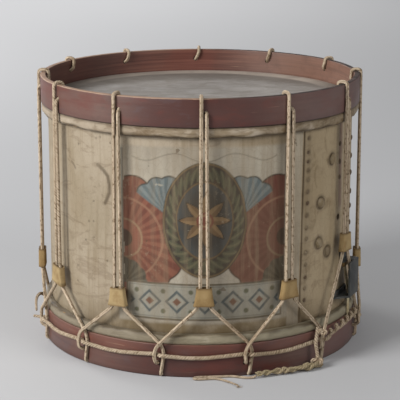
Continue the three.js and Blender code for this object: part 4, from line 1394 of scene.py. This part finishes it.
TUG_PLAY = 0.0006
TUG_LEATHER = 0.0019
TUG_DEPTH = ROPE_RADIUS + ROPE_GAP + TUG_LEATHER
TUG_TILTS = {10: -0.18, 11: 0.05, 1: 0.04}
TUG_TINTS = {10: 1.0, 11: 0.9, 0: 0.35, 1: 0.4, 2: 0.7}


def tug_half(rise):
    """Half the tug's width at a share of its height."""
    foot, top = (leg / 2 + ROPE_RADIUS + TUG_PLAY + TUG_LEATHER for leg in (LEG_BELOW_TUG, LEG_AT_TUG))
    return foot + (top - foot) * rise


def tug_section(turn, half, dip):
    """A place on the sleeve's outline: flat sides, round shoulders and a dip between the two ropes."""
    side, face = math.cos(turn), math.sin(turn)
    across = half * math.copysign(abs(side) ** 0.55, side)
    outwards = TUG_DEPTH * math.copysign(abs(face) ** 0.45, face)
    return across, outwards * (1 - dip * math.exp(-(across / (half * 0.34)) ** 2))


def add_tug(index):
    """A leather sleeve drawn tight round the two strands of a pair."""
    chance = np.random.default_rng(index + 3)
    levels, sides = 9, 40
    dip, flare = chance.uniform(0.04, 0.11), chance.uniform(0.0, 0.0007)
    lean = chance.uniform(-0.0004, 0.0004)
    tilt = TUG_TILTS.get(index, chance.uniform(-0.07, 0.07))

    def place_of(i, j):
        rise = j / levels
        waist = -0.0006 * math.sin(math.pi * rise) + flare * (1 - rise)
        across, outwards = tug_section(2 * math.pi * i / sides, tug_half(rise) + waist, dip)
        return Vector((across + lean * rise, outwards, rise * TUG_HEIGHT + tilt * across))

    mesh = sheet(sides, levels, place_of, TUG_LEATHER)
    places = places_of(mesh)
    rise = places[:, 2] / TUG_HEIGHT
    keep(mesh, "wear", np.clip(np.maximum(fall(rise, 0.0, 0.14), ramp(rise, 0.88, 1.0)), 0, 1))
    # A lighter middle on the outer face: rubbed leather and painted highlight
    middle = np.sin(math.pi * np.clip(rise, 0, 1))
    keep(mesh, "polish_and_highlight", bell(places[:, 0] / 0.005) * (places[:, 1] > 0) * middle)
    keep(mesh, "tint", [TUG_TINTS.get(index, chance.uniform(0.15, 0.8))] * len(places))
    places += 0.00025 * np.stack([ripple(places, 140, index + k * 3.3) for k in range(3)], 1)
    put_back(mesh, places)
    mesh.transform(radial_frame(index * PAIR_ANGLE, 0, OUTSIDE_RUN, TUG_SEATS[index]))
    name = f"tug_{index + 1:02d}"
    add_piece(smooth(mesh, 50), name + "_leather", buff_leather, name, body=name + "_sleeve")


for pair in range(PAIRS):
    add_tug(pair)


# Strainer bracket and snares

GUT_SPACING = 0.0024
GUT_HEIGHT = BOTTOM_HOOP_HEIGHT - HEAD_RISE - GAP - GUT / 2
GUT_OUTSIDE = HOOP_RADIUS + GAP + GUT / 2
GUT_LEAN = 0.0719
TIE_RUN = SHELL_RADIUS + 0.0045


def eased_copy(node, reach):
    """The solid's own shape with its edges eased."""
    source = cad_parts[node]
    bm = bmesh.new()
    bm.from_mesh(source.data)
    bm.transform(source.matrix_world)
    bmesh.ops.remove_doubles(bm, verts=bm.verts[:], dist=MERGE)
    bmesh.ops.dissolve_limit(bm, angle_limit=math.radians(1), verts=bm.verts[:], edges=bm.edges[:])
    sharp = [edge for edge in bm.edges if edge.calc_face_angle(0) > math.radians(35)]
    bmesh.ops.bevel(bm, geom=sharp, offset=reach, affect="EDGES", segments=2, profile=0.5, material=-1,
                    clamp_overlap=True)
    bmesh.ops.triangulate(bm, faces=[face for face in bm.faces if len(face.verts) > 4])
    face_out(bm)
    return finished(bm)


def add_rivet(number):
    node = f"bracket_rivet_{number}"
    low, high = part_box(node)
    middle = (low + high) / 2
    angle = math.degrees(math.atan2(middle.x, -middle.y))
    seat = math.hypot(middle.x, middle.y) - 0.0008
    rivet = nail_head(0.0026, 0.0016, angle, middle.z, bare=0.9, seed=50 + number, seat=seat)
    add_piece(rivet, f"rivet_head_{number}", black_iron, node)


def add_gut(number):
    """One snare, from the butt, under the lower skin, out of the gate and up to the tie in the bracket."""
    node = f"snare_gut_{number}"
    offset = (number - 2.5) * GUT_SPACING
    side = radial_frame(SNARE_ANGLE, -offset, 0, 0)
    corners = ((-HOOP_RADIUS, GUT_HEIGHT), (GUT_OUTSIDE, GUT_HEIGHT), (GUT_OUTSIDE, GUT_LEAN),
               (TIE_RUN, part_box(node)[1].z))
    route = [side @ Vector((0, math.copysign(math.sqrt(away * away - offset * offset), away), height))
             for away, height in corners]
    mesh = laid_rope(eased(route, 0.0016), GUT, pitch=0.0042, strands=2, step=0.0012, sides=8)
    add_piece(mesh, f"snare_{number}_twisted", old_gut, node)


add_piece(smooth(eased_copy("strainer_bracket", 0.0005)), "bracket_forged", black_iron, "strainer_bracket")
for number in range(1, 5):
    add_rivet(number)
for number in range(1, 5):
    add_gut(number)
for node in ("snare_butt", "snare_tie"):
    mesh = eased_copy(node, 0.0008)
    keep(mesh, "wear", [0.3] * len(mesh.vertices))
    keep(mesh, "tint", [0.3] * len(mesh.vertices))
    add_piece(smooth(mesh, 50), node + "_leather", buff_leather, node)
for node in ("top_flesh_hoop", "bottom_flesh_hoop"):
    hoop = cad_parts[node]
    hoop.data.materials.clear()
    hoop.data.materials.append(bare_ash[0])


# Room and light

# Place, what it shines on, size and watts
LAMPS = {
    "key_softbox": ((-1.91, -1.39, 1.4), (0, 0, 0.2), (1.1, 1.1), 72),
    "side_softbox": ((1.79, -1.5, 1.44), (0, 0, 0.2), (1.4, 1.4), 22.5),
    "left_softbox": ((-1.9, 2.0, 1.5), (-0.6, 1.8, 0), (1.2, 1.2), 38),
    "backdrop_softbox": ((-0.6, 4.2, 1.9), (-0.6, 3.8, 0), (2.4, 1.2), 43),
}
ROOM_LIGHT, ROOM_STRENGTH = (0.55, 0.56, 0.58, 1), 0.36


def lay_floor():
    paper, _ = Finish("studio_paper", 0.9, 0.1).done(paint(190, 190, 191), None)
    bm = bmesh.new()
    bmesh.ops.create_grid(bm, x_segments=1, y_segments=1, size=12)
    mesh = finished(bm)
    mesh.materials.append(paper)
    linked("studio_floor", mesh)


def hang_lamp(name, place, target, size, power):
    data = bpy.data.lights.new(name, "AREA")
    data.shape = "RECTANGLE"
    data.size, data.size_y = size
    data.energy = power
    lamp = linked(name, data)
    lamp.location = place
    lamp.rotation_euler = (Vector(target) - Vector(place)).to_track_quat("-Z", "Y").to_euler()


def fill_room():
    world = bpy.data.worlds.new("studio_air")
    world.use_nodes = True
    light, strength = world.node_tree.nodes["Background"].inputs[:2]
    light.default_value, strength.default_value = ROOM_LIGHT, ROOM_STRENGTH
    scene.world = world
    scene.view_settings.view_transform = "Standard"


lay_floor()
for name, lamp in LAMPS.items():
    hang_lamp(name, *lamp)
fill_room()
